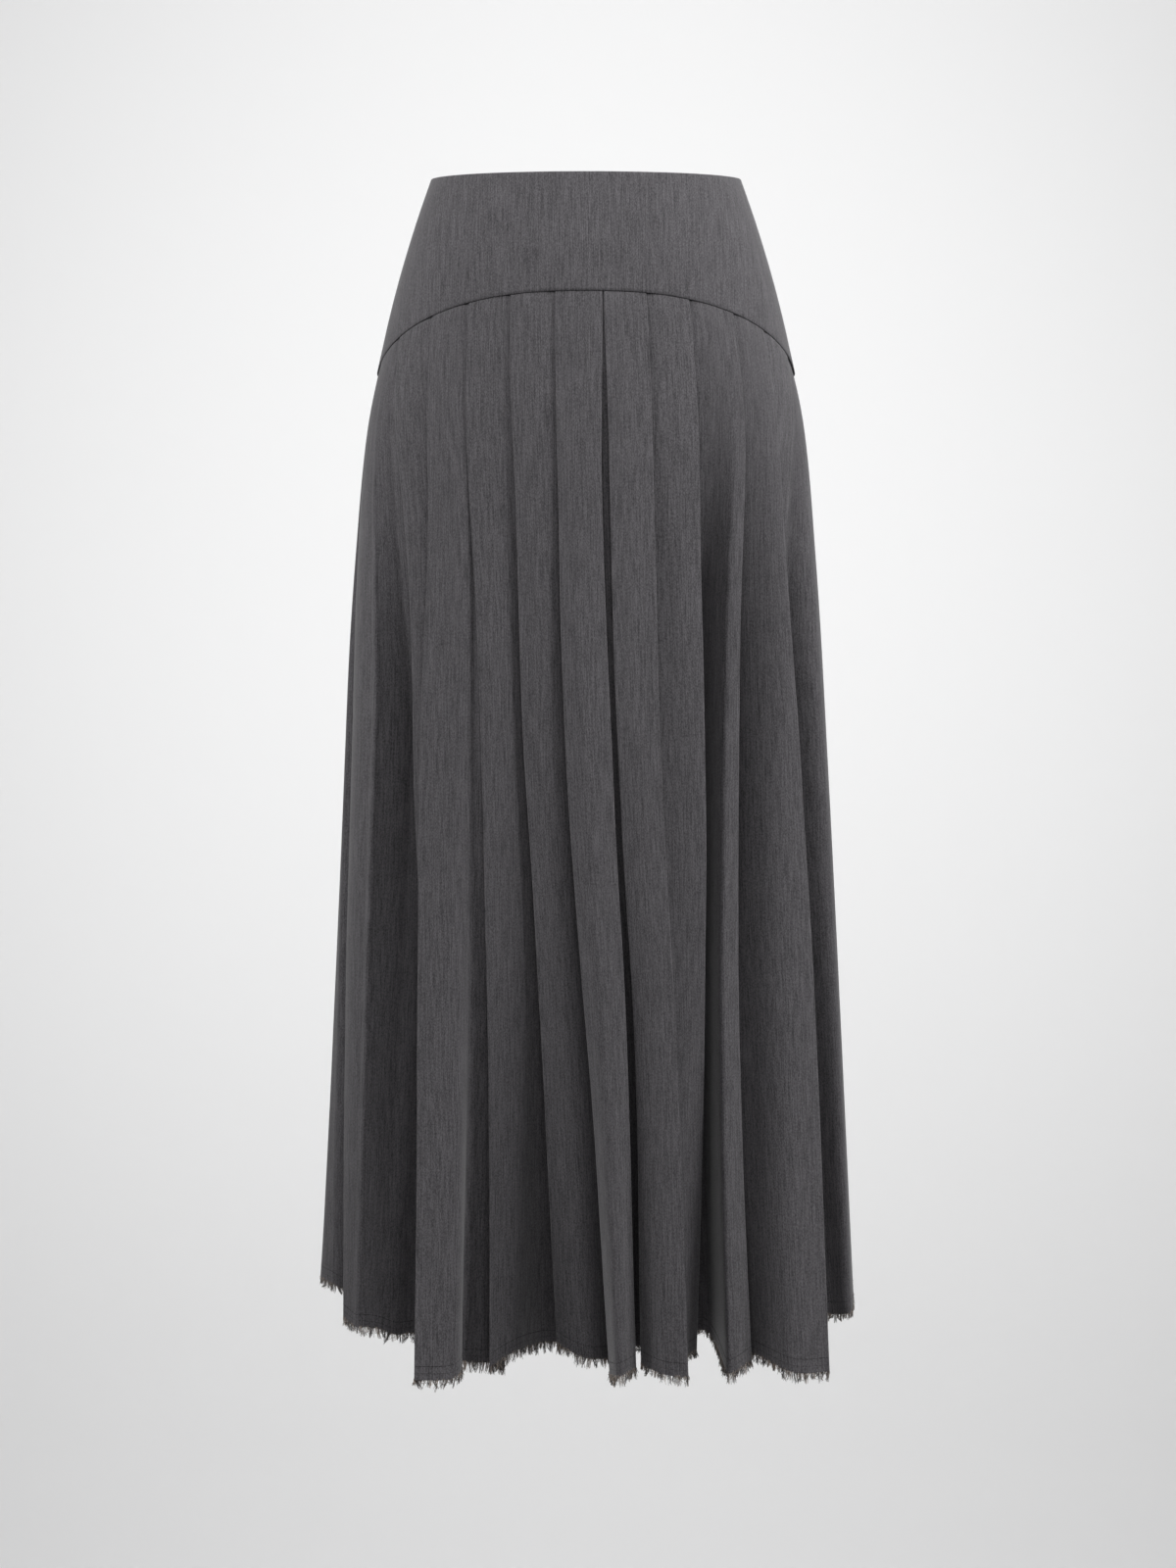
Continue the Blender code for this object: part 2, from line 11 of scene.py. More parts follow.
import bmesh
import bpy
import numpy as np
from bpy.props import FloatProperty, FloatVectorProperty, PointerProperty
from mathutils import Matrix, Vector

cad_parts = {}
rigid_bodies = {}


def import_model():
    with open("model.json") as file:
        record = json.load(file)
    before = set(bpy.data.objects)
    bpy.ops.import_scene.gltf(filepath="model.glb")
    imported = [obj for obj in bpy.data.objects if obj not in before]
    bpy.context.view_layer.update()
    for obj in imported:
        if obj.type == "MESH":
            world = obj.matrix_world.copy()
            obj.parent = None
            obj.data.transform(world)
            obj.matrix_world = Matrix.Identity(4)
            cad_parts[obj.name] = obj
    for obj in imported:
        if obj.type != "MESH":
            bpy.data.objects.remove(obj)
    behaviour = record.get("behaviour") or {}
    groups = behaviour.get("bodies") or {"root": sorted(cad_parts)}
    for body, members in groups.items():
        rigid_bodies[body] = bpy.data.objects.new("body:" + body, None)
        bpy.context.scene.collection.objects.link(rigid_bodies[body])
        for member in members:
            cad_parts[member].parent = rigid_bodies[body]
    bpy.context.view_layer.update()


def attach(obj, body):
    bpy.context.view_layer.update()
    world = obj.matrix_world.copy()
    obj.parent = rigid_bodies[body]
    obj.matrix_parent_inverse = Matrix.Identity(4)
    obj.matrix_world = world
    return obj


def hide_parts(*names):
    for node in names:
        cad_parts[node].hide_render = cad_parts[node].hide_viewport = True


bl_info = {
    "name": "Pleated maxi skirt",
    "version": (1, 0, 0),
    "blender": (4, 5, 0),
    "location": "3D View > Sidebar > Skirt",
    "description": "Builds the cloth, frayed hem and zip of a pleated maxi skirt on its frame",
    "category": "Add Mesh",
}

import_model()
MM = 0.001

# ---- the body that the cloth hangs on: drop, half width, front depth, back depth ----
BODY_LEVELS = np.array((
    (0, 125, 92, 92),
    (36, 138, 99, 103),
    (82, 152.5, 106, 116),
    (130, 165, 111, 124),
    (200, 180, 117, 131),
    (300, 189.5, 122, 137),
    (450, 200, 130, 145),
    (650, 213, 139, 154),
    (948, 231, 151, 166),
), dtype=float)
YOKE_FRONT_DROP = 90.6      # the yoke's seam at the centre front and back
YOKE_SIDE_FALL = 66.0       # how much lower it lies at the sides
YOKE_CURVE = 1.2
HEM_DROP = 938.0            # the raw edge: the loose threads hang below it
UNDERLAY = 33.0             # cloth folded under most pleats at the yoke seam
OPENING_RATE = 2.2          # the pleats open out as this power of the way down
SPREAD = 0.9                # share of its x from which a hem point is carried to the outline
SEAM_STEP = 0.7             # from the yoke's edge down to the pleats' own edge
FOLD_ROOM = 0.6             # between two layers of a pressed pleat, middle to middle
STACK_DEPTH = 1.7           # from the visible layer to the deepest at the yoke seam
RELIEF_REACH = 0.33         # share of the length over which the pleats lift off each other,
RELIEF_LAG = 0.0032         # and how much more of it for each millimetre that they move
SEAM_SINK = 0.75            # the pleats tuck in under the yoke's folded edge
SEAM_SINK_REACH = 7.0
TUCK_ROWS = ((6.0, 1.3), (3.0, 1.2), (1.0, 0.6))    # rise behind the yoke, depth under it
SIDE_SEAM_LEVEL = 1.2
LEFT_SEAM_MID = 2.8         # at mid height the cloth swings out past the outline here
RIGHT_SEAM_MID = 0.6

# ---- pleats: one row for each fold edge, in order round the skirt ----
# name, way the edge points, underlay, angle at the seam and at the three STATIONS below it,
# then the hem plan: edge x and forward distance, inner fold's x and forward distance, and
# how much lower than the rest the hem hangs at the two, where it does
Fold = namedtuple("Fold", "name points underlay angles edge inner sags")
STATIONS = (0.0, 0.17, 0.41, 0.71, 1.0)     # shares of the way from the seam to the hem
FRONT_FOLDS = (
    ("a", -1, UNDERLAY, -80.0, -80.7, -73.0, -67.0, -203, 80, -178, 14, -5, 0),
    ("b", -1, UNDERLAY, -65.4, -53.2, -47.5, -40.5, -128, 72, -102, 62, 9, 9),
    ("c", -1, UNDERLAY, -49.0, -42.2, -40.9, -37.5, -136, 200, -110, 112, 2, 0),
    ("d", -1, 28.0, -35.4, -29.7, -24.3, -21.1, -78, 160, -66, 140, 7, 12),
    ("e", -1, 27.0, -22.0, -17.4, -14.3, -9.4, -24, 130, -12, 108, -1, 8),
    ("f", -1, 14.0, -8.7, -6.8, -4.6, 0.7, 19, 170, 22, 128, 9, 12),
    ("g", 1, 12.0, 4.5, 3.8, 5.5, 8.6, 40, 178, 32, 138),
    ("centre", -1, 12.0, 5.2, 6.0, 7.1, 10.4, 44, 171, 54, 136),
    ("h", 1, 12.0, 17.4, 16.4, 17.0, 19.2, 81, 198, 76, 163),
    ("i", 1, 26.0, 30.8, 28.8, 28.0, 26.1, 90, 140, 80, 108),
    ("j", 1, 22.0, 46.7, 43.9, 39.8, 35.6, 134, 152, 126, 124, 4, 4),
    ("k", 1, 26.0, 60.4, 58.0, 59.6, 58.4, 196, 166, 165, 122, 8, 0),
    ("l", 1, 24.0, 77.0, 62.4, 65.3, 62.5, 190, 108, 165, 80),
)
BACK_RIGHT_FOLDS = (
    ("r5", -1, 27.0, 100.0, 102.5, 106.0, 109.0, 218, -58, 190, -66),
    ("r4", -1, UNDERLAY, 117.0, 118.5, 121.5, 123.5, 196, -104, 166, -94),
    ("r3", -1, UNDERLAY, 133.5, 134.5, 138.0, 140.0, 160, -150, 132, -122),
    ("r2", -1, UNDERLAY, 149.5, 151.5, 152.5, 153.5, 108, -182, 90, -138),
    ("r1", -1, 24.0, 165.5, 166.5, 166.5, 167.5, 52, -192, 42, -148),
)
BACK_LEFT_FOLDS = (
    ("l1", 1, 24.0, 194.5, 194.0, 193.0, 192.0, -50, -186, -40, -146),
    ("l2", 1, UNDERLAY, 210.5, 209.0, 207.5, 206.5, -104, -190, -86, -142),
    ("l3", 1, UNDERLAY, 226.5, 225.0, 222.5, 221.0, -152, -146, -128, -118),
    ("l4", 1, UNDERLAY, 243.0, 241.0, 238.5, 237.0, -190, -112, -162, -94),
    ("l5", 1, 27.0, 260.0, 257.0, 254.0, 251.0, -214, -66, -186, -62),
)
# ---- where each fold's edge and its inner fold lie at mid height, outwards from the outline ----
PLAIN_MID = (0.0, -6.5)     # the folds that are not named below
MID_DEPTHS = {
    "a": (0.0, -24.0),
    "b": (-14.0, -42.0),
    "c": (0.0, -44.0),
    "d": (0.0, -14.0),
    "i": (0.0, -40.0),
    "j": (-14.0, -50.0),
    "k": (-2.0, -34.0),
    "l": (-16.0, -38.0),
    "r3": (0.0, -20.0),
    "r5": (0.0, -24.0),
    "l3": (0.0, -20.0),
    "l5": (0.0, -24.0),
}
EDGE_PUSH = {"a": 2.0}      # the edges that swing forwards there
# a panel stays out near its own fold's edge and then drops away: the higher, the later.
# None stands for a panel that starts or ends at a seam.
FULLNESS = {None: 5.0, "a": 2.2, "c": 7.0, "i": 1.7, "j": 1.2, "k": 1.5, "l": 1.2}
PLAIN_FULLNESS = 4.6
SEAM_FULLNESS = 8.0         # at the yoke seam the pleats are pressed flat
# ---- soft creases inside the panels: where each one reaches at the hem ----
# the fold before it ("start" before the first), share of the panel at the seam, x, forward,
# how much lower the hem hangs there, and how far it swings forwards at mid height
Crease = namedtuple("Crease", "fold share x forward sag push", defaults=(0, 0))
FRONT_CREASES = (
    ("start", 0.30, -214, -8.5, 3),
    ("start", 0.62, -202, -8.5, 7.5),
    ("a", 0.25, -193, 91, -1, 21),
    ("a", 0.28, -191, 95, -1, 27),
    ("a", 0.305, -188, 95, -2, 25),
    ("a", 0.47, -173, 95, 0, 19),
    ("a", 0.60, -160, 91, 6.5, 12),
    ("a", 0.76, -146, 82, 8.5, 4),
    ("c", 0.22, -108, 199, 2),
    ("c", 0.34, -100, 190, 1, 2),
    ("c", 0.44, -99, 172, 1, 6),
    ("c", 0.66, -102, 152, 6, 11),
    ("d", 0.42, -57, 142, 1),
    ("d", 0.72, -35, 106, 7),
    ("e", 0.34, -4, 144, 5),
    ("e", 0.67, 10, 142, 8),
    ("f", 0.50, 26, 199),
    ("g", 0.50, 44, 132),
    ("centre", 0.50, 62, 194),
    ("i", 0.25, 97, 97, 0, -5),
    ("i", 0.52, 107, 108, 7, -14),
    ("i", 0.83, 113, 178, 6, -2),
    ("i", 0.87, 115, 179, 6, 1),
    ("j", 0.35, 144, 152, 3),
    ("j", 0.70, 168, 178, 5),
    ("l", 0.36, 203, 38, 9),
    ("l", 0.70, 225, 45, 5),
)
BACK_RIGHT_CREASES = (
    ("start", 0.36, 228, -20),
    ("start", 0.68, 218, -40),
    ("r5", 0.34, 212, -72),
    ("r5", 0.67, 194, -82),
    ("r3", 0.34, 144, -164),
    ("r3", 0.67, 122, -156),
    ("r1", 0.50, 26, -184),
)
BACK_LEFT_CREASES = (
    ("start", 0.50, -26, -180),
    ("l2", 0.34, -124, -178),
    ("l2", 0.67, -136, -148),
    ("l4", 0.34, -202, -98),
    ("l4", 0.67, -196, -80),
    ("l5", 0.32, -206, -48),
    ("l5", 0.64, -234.5, -34),
)
LEFT_SEAM_HEM = (-221, -12)
RIGHT_SEAM_HEM = (231, 6)
BACK_SEAM_HEM = (0, -174)
SEAM_HALF_GAP = 0.15
ZIP_HALF_GAP = 0.7
SEAM_SHUT = 14.0            # under the zip the back seam closes over this length

# ---- how finely the cloth is drawn ----
PANEL_STEP = 3.6            # along a visible panel
FINE_STEPS = {"a": 1.6}     # the panels with a sharp crest, by the fold before them
UNDERLAY_STEP = 6.0         # along the cloth folded under it
FOLD_TURN = (-90, -40, 0, 40, 90)
ARC_DROP = 120              # where the turn of a fold is measured round the body,
COUNT_DROP = 150            # and where a panel's width is
SEAM_ROWS = (0.0, 0.0012, 0.003, 0.006, 0.010, 0.016, 0.024)
SKIRT_ROWS = 84

# ---- how the pressed folds stray and relax ----
SWAY = 0.5
SWAY_WAVES = ((1.3, 1.0), (2.7, 0.6), (5.1, 0.3))   # turns over the length, weight
SWAY_START = 1.0            # each fold's waves start further on than the last one's
SWAY_SHIFT = 7.3
SWAY_PHASE = 0.37
HEM_EASE = 5                # rounds of easing that relax the folds near the hem
EASE_SHARE = 0.5
EASE_RATE = 1.5

# ---- zip at the centre back ----
SLIDER_FOOT = 14.8          # drops between which the coil runs
ZIP_FOOT = 179.0
COIL_DEPTH = 4.2            # its middle's depth under the cloth's outline
COIL_HALF = 1.9
COIL_PITCH = 1.15
COIL_RISE = 0.55
COIL_WIRE = 0.3
COIL_STEPS = 10             # points in one turn of the coil


# ======== shape of the body and of the pleats ========
def lerp(first, second, share):
    return first + (second - first) * share


def curve_through(places, values, where):
    """A smooth curve through a few values (cubic, each slope taken from the neighbours)."""
    places, values = np.asarray(places, float), np.asarray(values, float)
    where = np.clip(where, places[0], places[-1])
    last = len(places) - 1
    before = np.maximum(np.arange(last + 1) - 1, 0)
    after = np.minimum(np.arange(last + 1) + 1, last)
    span = places[after] - places[before]
    slopes = (values[after] - values[before]) / (span if values.ndim == 1 else span[:, None])
    index = np.clip(np.searchsorted(places, where, side="right") - 1, 0, last - 1)
    length = places[index + 1] - places[index]
    t = (where - places[index]) / length
    if values.ndim > 1:
        t, length = t[..., None], length[..., None]
    return ((2 * t**3 - 3 * t**2 + 1) * values[index]
            + (t**3 - 2 * t**2 + t) * length * slopes[index]
            + (3 * t**2 - 2 * t**3) * values[index + 1]
            + (t**3 - t**2) * length * slopes[index + 1])


def unit(vectors):
    """The same directions with a length of one."""
    return vectors / np.maximum(np.linalg.norm(vectors, axis=-1, keepdims=True), 1e-6)


def body_size(drop):
    """Half width, front depth and back depth at each drop."""
    return curve_through(BODY_LEVELS[:, 0], BODY_LEVELS[:, 1:], np.asarray(drop, float))


def body_axes(angle, drop):
    size = body_size(drop)
    turn = np.radians(angle)
    depth = np.where(np.cos(turn) > 0, size[..., 1], size[..., 2])
    return size[..., 0], depth, turn


def body_plan(angle, drop):
    """Plan x and y on the body's outline."""
    width, depth, turn = body_axes(angle, drop)
    return np.stack((width * np.sin(turn), -depth * np.cos(turn)), axis=-1)


def body_outward(angle, drop):
    """The outline's outward direction in plan."""
    width, depth, turn = body_axes(angle, drop)
    return unit(np.stack((np.sin(turn) / width, -np.cos(turn) / depth), axis=-1))


def degrees_for(length, angle, drop):
    """The angle that a length of cloth covers round the outline."""
    step = np.linalg.norm(body_plan(angle + 0.5, drop) - body_plan(angle - 0.5, drop), axis=-1)
    return length / step


def yoke_seam_drop(angle):
    """The seam arches up at the centre front, and again at the centre back."""
    share = 1 - np.abs(np.cos(np.radians(angle)))
    return YOKE_FRONT_DROP + YOKE_SIDE_FALL * share**YOKE_CURVE


def hem_place(point):
    """The angle where a hem point belongs on the outline, and how far it has moved off it."""
    x, forward = float(point[0]), float(point[1])
    width, front, back = body_size(HEM_DROP)
    depth = front if forward > 0 else back
    start, run = SPREAD * x, x - SPREAD * x
    square = (run / width)**2 + (forward / depth)**2
    linear = 2 * start * run / width**2
    rest = (start / width)**2 - 1
    along = (-linear + math.sqrt(linear**2 - 4 * square * rest)) / (2 * square)
    angle = math.degrees(math.atan2((start + run * along) / width, forward * along / depth))
    if angle < 0 and forward < 0:
        angle += 360
    return angle, np.array((x, -forward)) - body_plan(angle, HEM_DROP)


def fold_drift(fold, fractions):
    """How far a fold has turned from the straight way between its seam and hem angles."""
    if fold is None:
        return np.zeros_like(fractions)
    hem = hem_place(fold.edge)[0]
    angles = curve_through(STATIONS, [*fold.angles, hem], fractions)
    return angles - lerp(fold.angles[0], hem, fractions)


def fold_corners(fold):
    """The visible edge and the inner fold under it, in order round the skirt."""
    points, angle = fold.points, fold.angles[0]
    inner_angle = angle - points * degrees_for(fold.underlay, angle, yoke_seam_drop(angle))
    edge = {"angle": angle, "hem": (*fold.edge, fold.sags[0]), "fold": fold, "bulge": points,
            "hidden": False, "push": EDGE_PUSH.get(fold.name, 0.0)}
    inner = {"angle": float(inner_angle), "hem": (*fold.inner, fold.sags[1]), "fold": fold,
             "bulge": -points, "hidden": True, "push": 0.0}
    edge_mid, inner_mid = MID_DEPTHS.get(fold.name, PLAIN_MID)
    for corner, level, mid in ((edge, 0.0, edge_mid),
                               (inner, FOLD_ROOM - STACK_DEPTH, inner_mid + FOLD_ROOM)):
        corner["levels"] = (level - FOLD_ROOM, level)[::-points]
        corner["mids"] = (mid - FOLD_ROOM, mid)[::-points]
    return [inner, edge] if points < 0 else [edge, inner]


def level_along(here, after, share, kind):
    """A panel lies on top where it shows and goes down to pass under the next pleat."""
    span = after["angle"] - here["angle"]
    leave, arrive = here[kind][1], after[kind][0]
    first = (here["fold"].angles[0] - here["angle"]) / span if here["hidden"] else 0.0
    last = (after["fold"].angles[0] - here["angle"]) / span if after["hidden"] else 1.0
    if not 0 <= first < last <= 1 or here["hidden"] == after["hidden"]:
        return lerp(leave, arrive, share)
    along = min(max((share - first) / (last - first), 0.0), 1.0)
    shown = after if here["hidden"] else here
    full = FULLNESS.get(shown["fold"] and shown["fold"].name, PLAIN_FULLNESS)
    if kind == "levels":
        full = SEAM_FULLNESS
    if after["hidden"]:
        return lerp(leave, arrive, along**full)
    return lerp(arrive, leave, (1 - along)**full)


# An upright line of a panel: its angle and level at the seam, its level and forward swing at
# mid height, its place at the hem, the folds that it lies between and how far it is across.
Column = namedtuple("Column", "angle level mid push hem folds share")


def fold_arc(here, before, after):
    """The rounded turn of a pressed fold, drawn at the seam and in the hem plan."""
    half = FOLD_ROOM / 2
    centre, sag = np.array(here["hem"][:2], float), here["hem"][2]
    back = unit(before[:2] - centre)
    inward = unit(back + unit(after[:2] - centre))
    across = np.array((-inward[1], inward[0]))
    if across.dot(back) < 0:
        across = -across
    columns = []
    for turn in FOLD_TURN:
        side, out = math.sin(math.radians(turn)), math.cos(math.radians(turn))
        round_body = degrees_for(half * out, here["angle"], ARC_DROP)
        level, mid = (lerp(*here[kind], (1 + side) / 2) for kind in ("levels", "mids"))
        hem = centre - across * half * side - inward * half * out
        columns.append(Column(here["angle"] + here["bulge"] * round_body, level, mid,
                              here["push"], (*hem, sag), (here["fold"],) * 2, 0.0))
    return columns


def seam_column(seam):
    return Column(seam["angle"], seam["levels"][0], seam["mids"][0], 0.0, seam["hem"],
                  (None, None), 0.0)


def panel_columns(folds, creases, start, finish):
    """Lays out the columns of one pleated panel from its folds and creases."""
    corners, owner = [start], ["start"]
    for fold in folds:
        corners += fold_corners(fold)
        owner += [None, fold.name]
    corners.append(finish)
    knots = []
    for here, after, name in zip(corners, corners[1:], owner):
        inside = [crease for crease in creases if crease.fold == name]
        shares = [0.0, *(crease.share for crease in inside), 1.0]
        points = [(*here["hem"], here["push"]), *(crease[2:] for crease in inside),
                  (*after["hem"], after["push"])]
        knots.append((shares, np.array(points, float)))
    columns = [seam_column(start)]
    for index, (shares, points) in enumerate(knots):
        here, after = corners[index:index + 2]
        if here["fold"] is not None:
            columns += fold_arc(here, knots[index - 1][1][-2], points[1])
        at_seam = abs(after["angle"] - here["angle"]) / degrees_for(1.0, here["angle"],
                                                                    COUNT_DROP)
        name = owner[index]
        step = FINE_STEPS.get(name, PANEL_STEP) if name else UNDERLAY_STEP
        length = max(at_seam, np.linalg.norm(np.diff(points[:, :2], axis=0), axis=1).sum())
        count = max(3, round(length / step))
        at = np.arange(1, count) / count
        for share, hem in zip(at, curve_through(shares, points, at)):
            columns.append(Column(lerp(here["angle"], after["angle"], share),
                                  level_along(here, after, share, "levels"),
                                  level_along(here, after, share, "mids"), hem[3], hem[:3],
                                  (here["fold"], after["fold"]), share))
    return [*columns, seam_column(finish)]


def wander(fractions, seeds):
    """Slow, uneven sideways drift that keeps pressed folds from being ruler straight."""
    total = np.zeros((len(fractions), len(seeds)))
    for turns, weight in SWAY_WAVES:
        total += weight * np.sin(2 * math.pi * (turns * fractions[:, None]
                                                + SWAY_PHASE * seeds[None, :] * turns))
    return SWAY * total


def strays(columns, fractions):
    """How each column turns from its straight way down, in degrees, and how far it sways."""
    folds = {fold and fold.name: fold for column in columns for fold in column.folds}
    drifts = {name: fold_drift(fold, fractions) for name, fold in folds.items()}
    seeds = {name: SWAY_START + SWAY_SHIFT * index
             for index, name in enumerate(sorted(folds, key=str))}
    share = np.array([column.share for column in columns])
    drift, sway = [], []
    for side in (0, 1):
        names = [column.folds[side] and column.folds[side].name for column in columns]
        drift.append(np.stack([drifts[name] for name in names], axis=1))
        sway.append(wander(fractions, np.array([seeds[name] for name in names])))
    return lerp(*drift, share), lerp(*sway, share) * np.sin(math.pi * fractions)[:, None]


def cloth_grid(columns, fractions):
    """The middle of the cloth as a grid of points in millimetres, top row first."""
    seam_angle, level, mid, push = (np.array([getattr(column, key) for column in columns])
                                    for key in ("angle", "level", "mid", "push"))
    placed = [hem_place(column.hem) for column in columns]
    sag = np.array([column.hem[2] for column in columns])
    hem_angle = np.array([place[0] for place in placed])
    hem_angle = np.where(hem_angle - seam_angle > 180, hem_angle - 360, hem_angle)
    moved = np.array([place[1] for place in placed])
    drift, sway = strays(columns, fractions)
    down = fractions[:, None]
    opened = down**OPENING_RATE
    angle = lerp(seam_angle, hem_angle, down) + drift
    top = yoke_seam_drop(seam_angle) + SEAM_STEP
    drop = lerp(top, HEM_DROP, down)
    fall = drop + sag * down**2
    plan = body_plan(angle, drop) + moved * opened[..., None]
    outward = body_outward(angle, drop)
    lift = np.clip(down / (RELIEF_REACH + RELIEF_LAG * np.abs(mid)), 0, 1)
    lift = lift**2 * (3 - 2 * lift)
    sink = SEAM_SINK * np.exp(-(drop - top) / SEAM_SINK_REACH)
    plan += outward * (lerp(level, mid, lift) * (1 - opened) - sink)[..., None]
    along = np.stack((-outward[..., 1], outward[..., 0]), axis=-1)
    plan += along * sway[..., None]
    for _ in range(HEM_EASE):
        eased = (plan[:, :-2] + plan[:, 2:]) / 2 - plan[:, 1:-1]
        plan[:, 1:-1] += eased * (EASE_SHARE * fractions**EASE_RATE)[:, None, None]
    plan[..., 1] -= push * lift * (1 - opened)
    grid = np.concatenate((plan, -fall[..., None]), axis=-1)
    tucks = []
    for rise, depth in TUCK_ROWS:
        row = grid[0].copy()
        row[:, :2] -= outward[0] * depth
        row[:, 2] += rise
        tucks.append(row)
    return np.concatenate((tucks, grid))


# ======== meshes ========
def link_object(name, data):
    piece = bpy.data.objects.new(name, data)
    bpy.context.scene.collection.objects.link(piece)
    return piece


def sheet_object(name, grid, across, down, material, thickness):
    """A cloth sheet: a grid placed point by point, with a UV map in metres and a wall."""
    rows, count = grid.shape[:2]
    shape = bmesh.new()
    bmesh.ops.create_grid(shape, x_segments=count - 1, y_segments=rows - 1, size=1.0)
    for edge in shape.edges:
        edge.smooth = not edge.is_boundary
    mesh = bpy.data.meshes.new(name)
    shape.to_mesh(mesh)
    shape.free()
    flat = np.empty(len(mesh.vertices) * 3)
    mesh.vertices.foreach_get("co", flat)
    flat = flat.reshape(-1, 3)
    column = np.rint((flat[:, 0] + 1) / 2 * (count - 1)).astype(int)
    row = rows - 1 - np.rint((flat[:, 1] + 1) / 2 * (rows - 1)).astype(int)
    mesh.vertices.foreach_set("co", (grid[row, column] * MM).ravel())
    layer = mesh.uv_layers.new(name="cloth")
    corner = np.empty(len(mesh.loops), dtype=np.int32)
    mesh.loops.foreach_get("vertex_index", corner)
    spread = np.stack((across[row, column], down[row, column]), axis=-1) * MM
    layer.data.foreach_set("uv", spread[corner].ravel())
    mesh.update()
    mesh.polygons.foreach_set("use_smooth", [True] * len(mesh.polygons))
    mesh.materials.append(material)
    piece = link_object(name, mesh)
    wall = piece.modifiers.new("wall", "SOLIDIFY")
    wall.thickness = thickness * MM
    wall.offset = 0.0
    return piece


def cloth_lengths(grid, straight=False):
    """How far each point lies along the cloth and down it. The grain follows the columns, or
    stays straight and upright about the middle column."""
    steps = np.linalg.norm(np.diff(grid, axis=1), axis=-1)
    if straight:
        across = np.concatenate((np.zeros((len(grid), 1)), np.cumsum(steps, axis=1)), axis=1)
        middle = grid.shape[1] // 2
        across += (across[:, middle].max() - across[:, middle])[:, None]
    else:
        across = np.concatenate(((0,), np.cumsum(steps.mean(axis=0))))[None, :]
        across = np.repeat(across, len(grid), axis=0)
    falls = np.linalg.norm(np.diff(grid, axis=0), axis=-1)
    down = np.concatenate((np.zeros((1, grid.shape[1])), np.cumsum(falls, axis=0)))
    return across, down


def threads_object(name, paths, radius, materials, tones, taper=0.55):
    """Many thin joined threads. Each path is a short array of points in millimetres, and each
    tone the place of its material. The taper is the radius at the end, as a share."""
    curve = bpy.data.curves.new(name, "CURVE")
    curve.dimensions = "3D"
    curve.bevel_depth = radius * MM
    curve.bevel_resolution = 0
    curve.use_fill_caps = True
    for material in materials:
        curve.materials.append(material)
    for path, tone in zip(paths, tones):
        spline = curve.splines.new("POLY")
        spline.points.add(len(path) - 1)
        values = np.concatenate((path * MM, np.ones((len(path), 1))), axis=1)
        spline.points.foreach_set("co", values.ravel())
        spline.points.foreach_set("radius", np.linspace(1.0, taper, len(path)))
        spline.material_index = int(tone)
    guide = link_object(name + "_guide", curve)
    depsgraph = bpy.context.evaluated_depsgraph_get()
    mesh = bpy.data.meshes.new_from_object(guide.evaluated_get(depsgraph))
    mesh.name = name
    bpy.data.objects.remove(guide)
    bpy.data.curves.remove(curve)
    return link_object(name, mesh)


# ======== materials ========
def feed(tree, fed, inputs):
    """Sets inputs of a node, by name or index: each to a value, or linked to an output."""
    for key, value in inputs.items():
        socket = fed.inputs[key]
        if isinstance(value, bpy.types.NodeSocket):
            tree.links.new(value, socket)
        else:
            socket.default_value = value


def node(tree, kind, place, inputs=None, **settings):
    made = tree.nodes.new(kind)
    made.location = place
    for key, value in settings.items():
        setattr(made, key, value)
    feed(tree, made, inputs or {})
    return made


def mix_colours(tree, place, factor, first, second):
    return node(tree, "ShaderNodeMix", place, {0: factor, 6: first, 7: second},
                data_type="RGBA").outputs[2]


def maths(tree, place, operation, first, second):
    return node(tree, "ShaderNodeMath", place, {0: first, 1: second},
                operation=operation).outputs[0]


def new_finish(name, roughness, specular):
    """A new material with its node tree and its Principled shader."""
    material = bpy.data.materials.new(name)
    material.use_nodes = True
    tree = material.node_tree
    shader = tree.nodes["Principled BSDF"]
    feed(tree, shader, {"Roughness": roughness, "Specular IOR Level": specular})
    return material, tree, shader


def piece_noise(tree, scale, detail):
    """Noise that stays on the piece, between 0 and 1."""
    place = node(tree, "ShaderNodeTexCoord", (-900, 0)).outputs["Object"]
    return node(tree, "ShaderNodeTexNoise", (-700, 0),
                {"Vector": place, "Scale": scale, "Detail": detail}).outputs["Fac"]


def uneven_colour(tree, noise, colour, darkest):
    """A colour that falls unevenly to a share of itself."""
    darker = tuple(channel * darkest for channel in colour)
    return mix_colours(tree, (-400, 100), noise, (*darker, 1), (*colour, 1))


def stretched_noise(tree, place, uv, across, down, detail, seed):
    """Noise drawn out along the warp: across and down are how often it repeats in a metre."""
    scaled = node(tree, "ShaderNodeMapping", place,
                  {"Vector": uv, "Scale": (across, down, 1.0),
                   "Location": (seed, seed * 0.7, seed * 1.3)}).outputs[0]
    return node(tree, "ShaderNodeTexNoise", (place[0] + 180, place[1]),
                {"Vector": scaled, "Scale": 1.0, "Detail": detail,
                 "Roughness": 0.6}).outputs["Fac"]


# each noise of the melange: repeats across and down in a metre, detail, seed and weight
MELANGE_NOISES = (
    (1100, 42, 1.0, 1.7, 0.50),     # streaks along the warp
    (420, 14, 1.0, 5.1, 0.10),      # slubs
    (42, 3, 2.0, 9.4, 0.05),        # broad, faint shade
    (1700, 650, 1.0, 3.3, 0.70),    # grain
)
TWILL_ANGLE = 63
TWILL_SCALE = 430.0
TWILL_DEPTH = 0.5


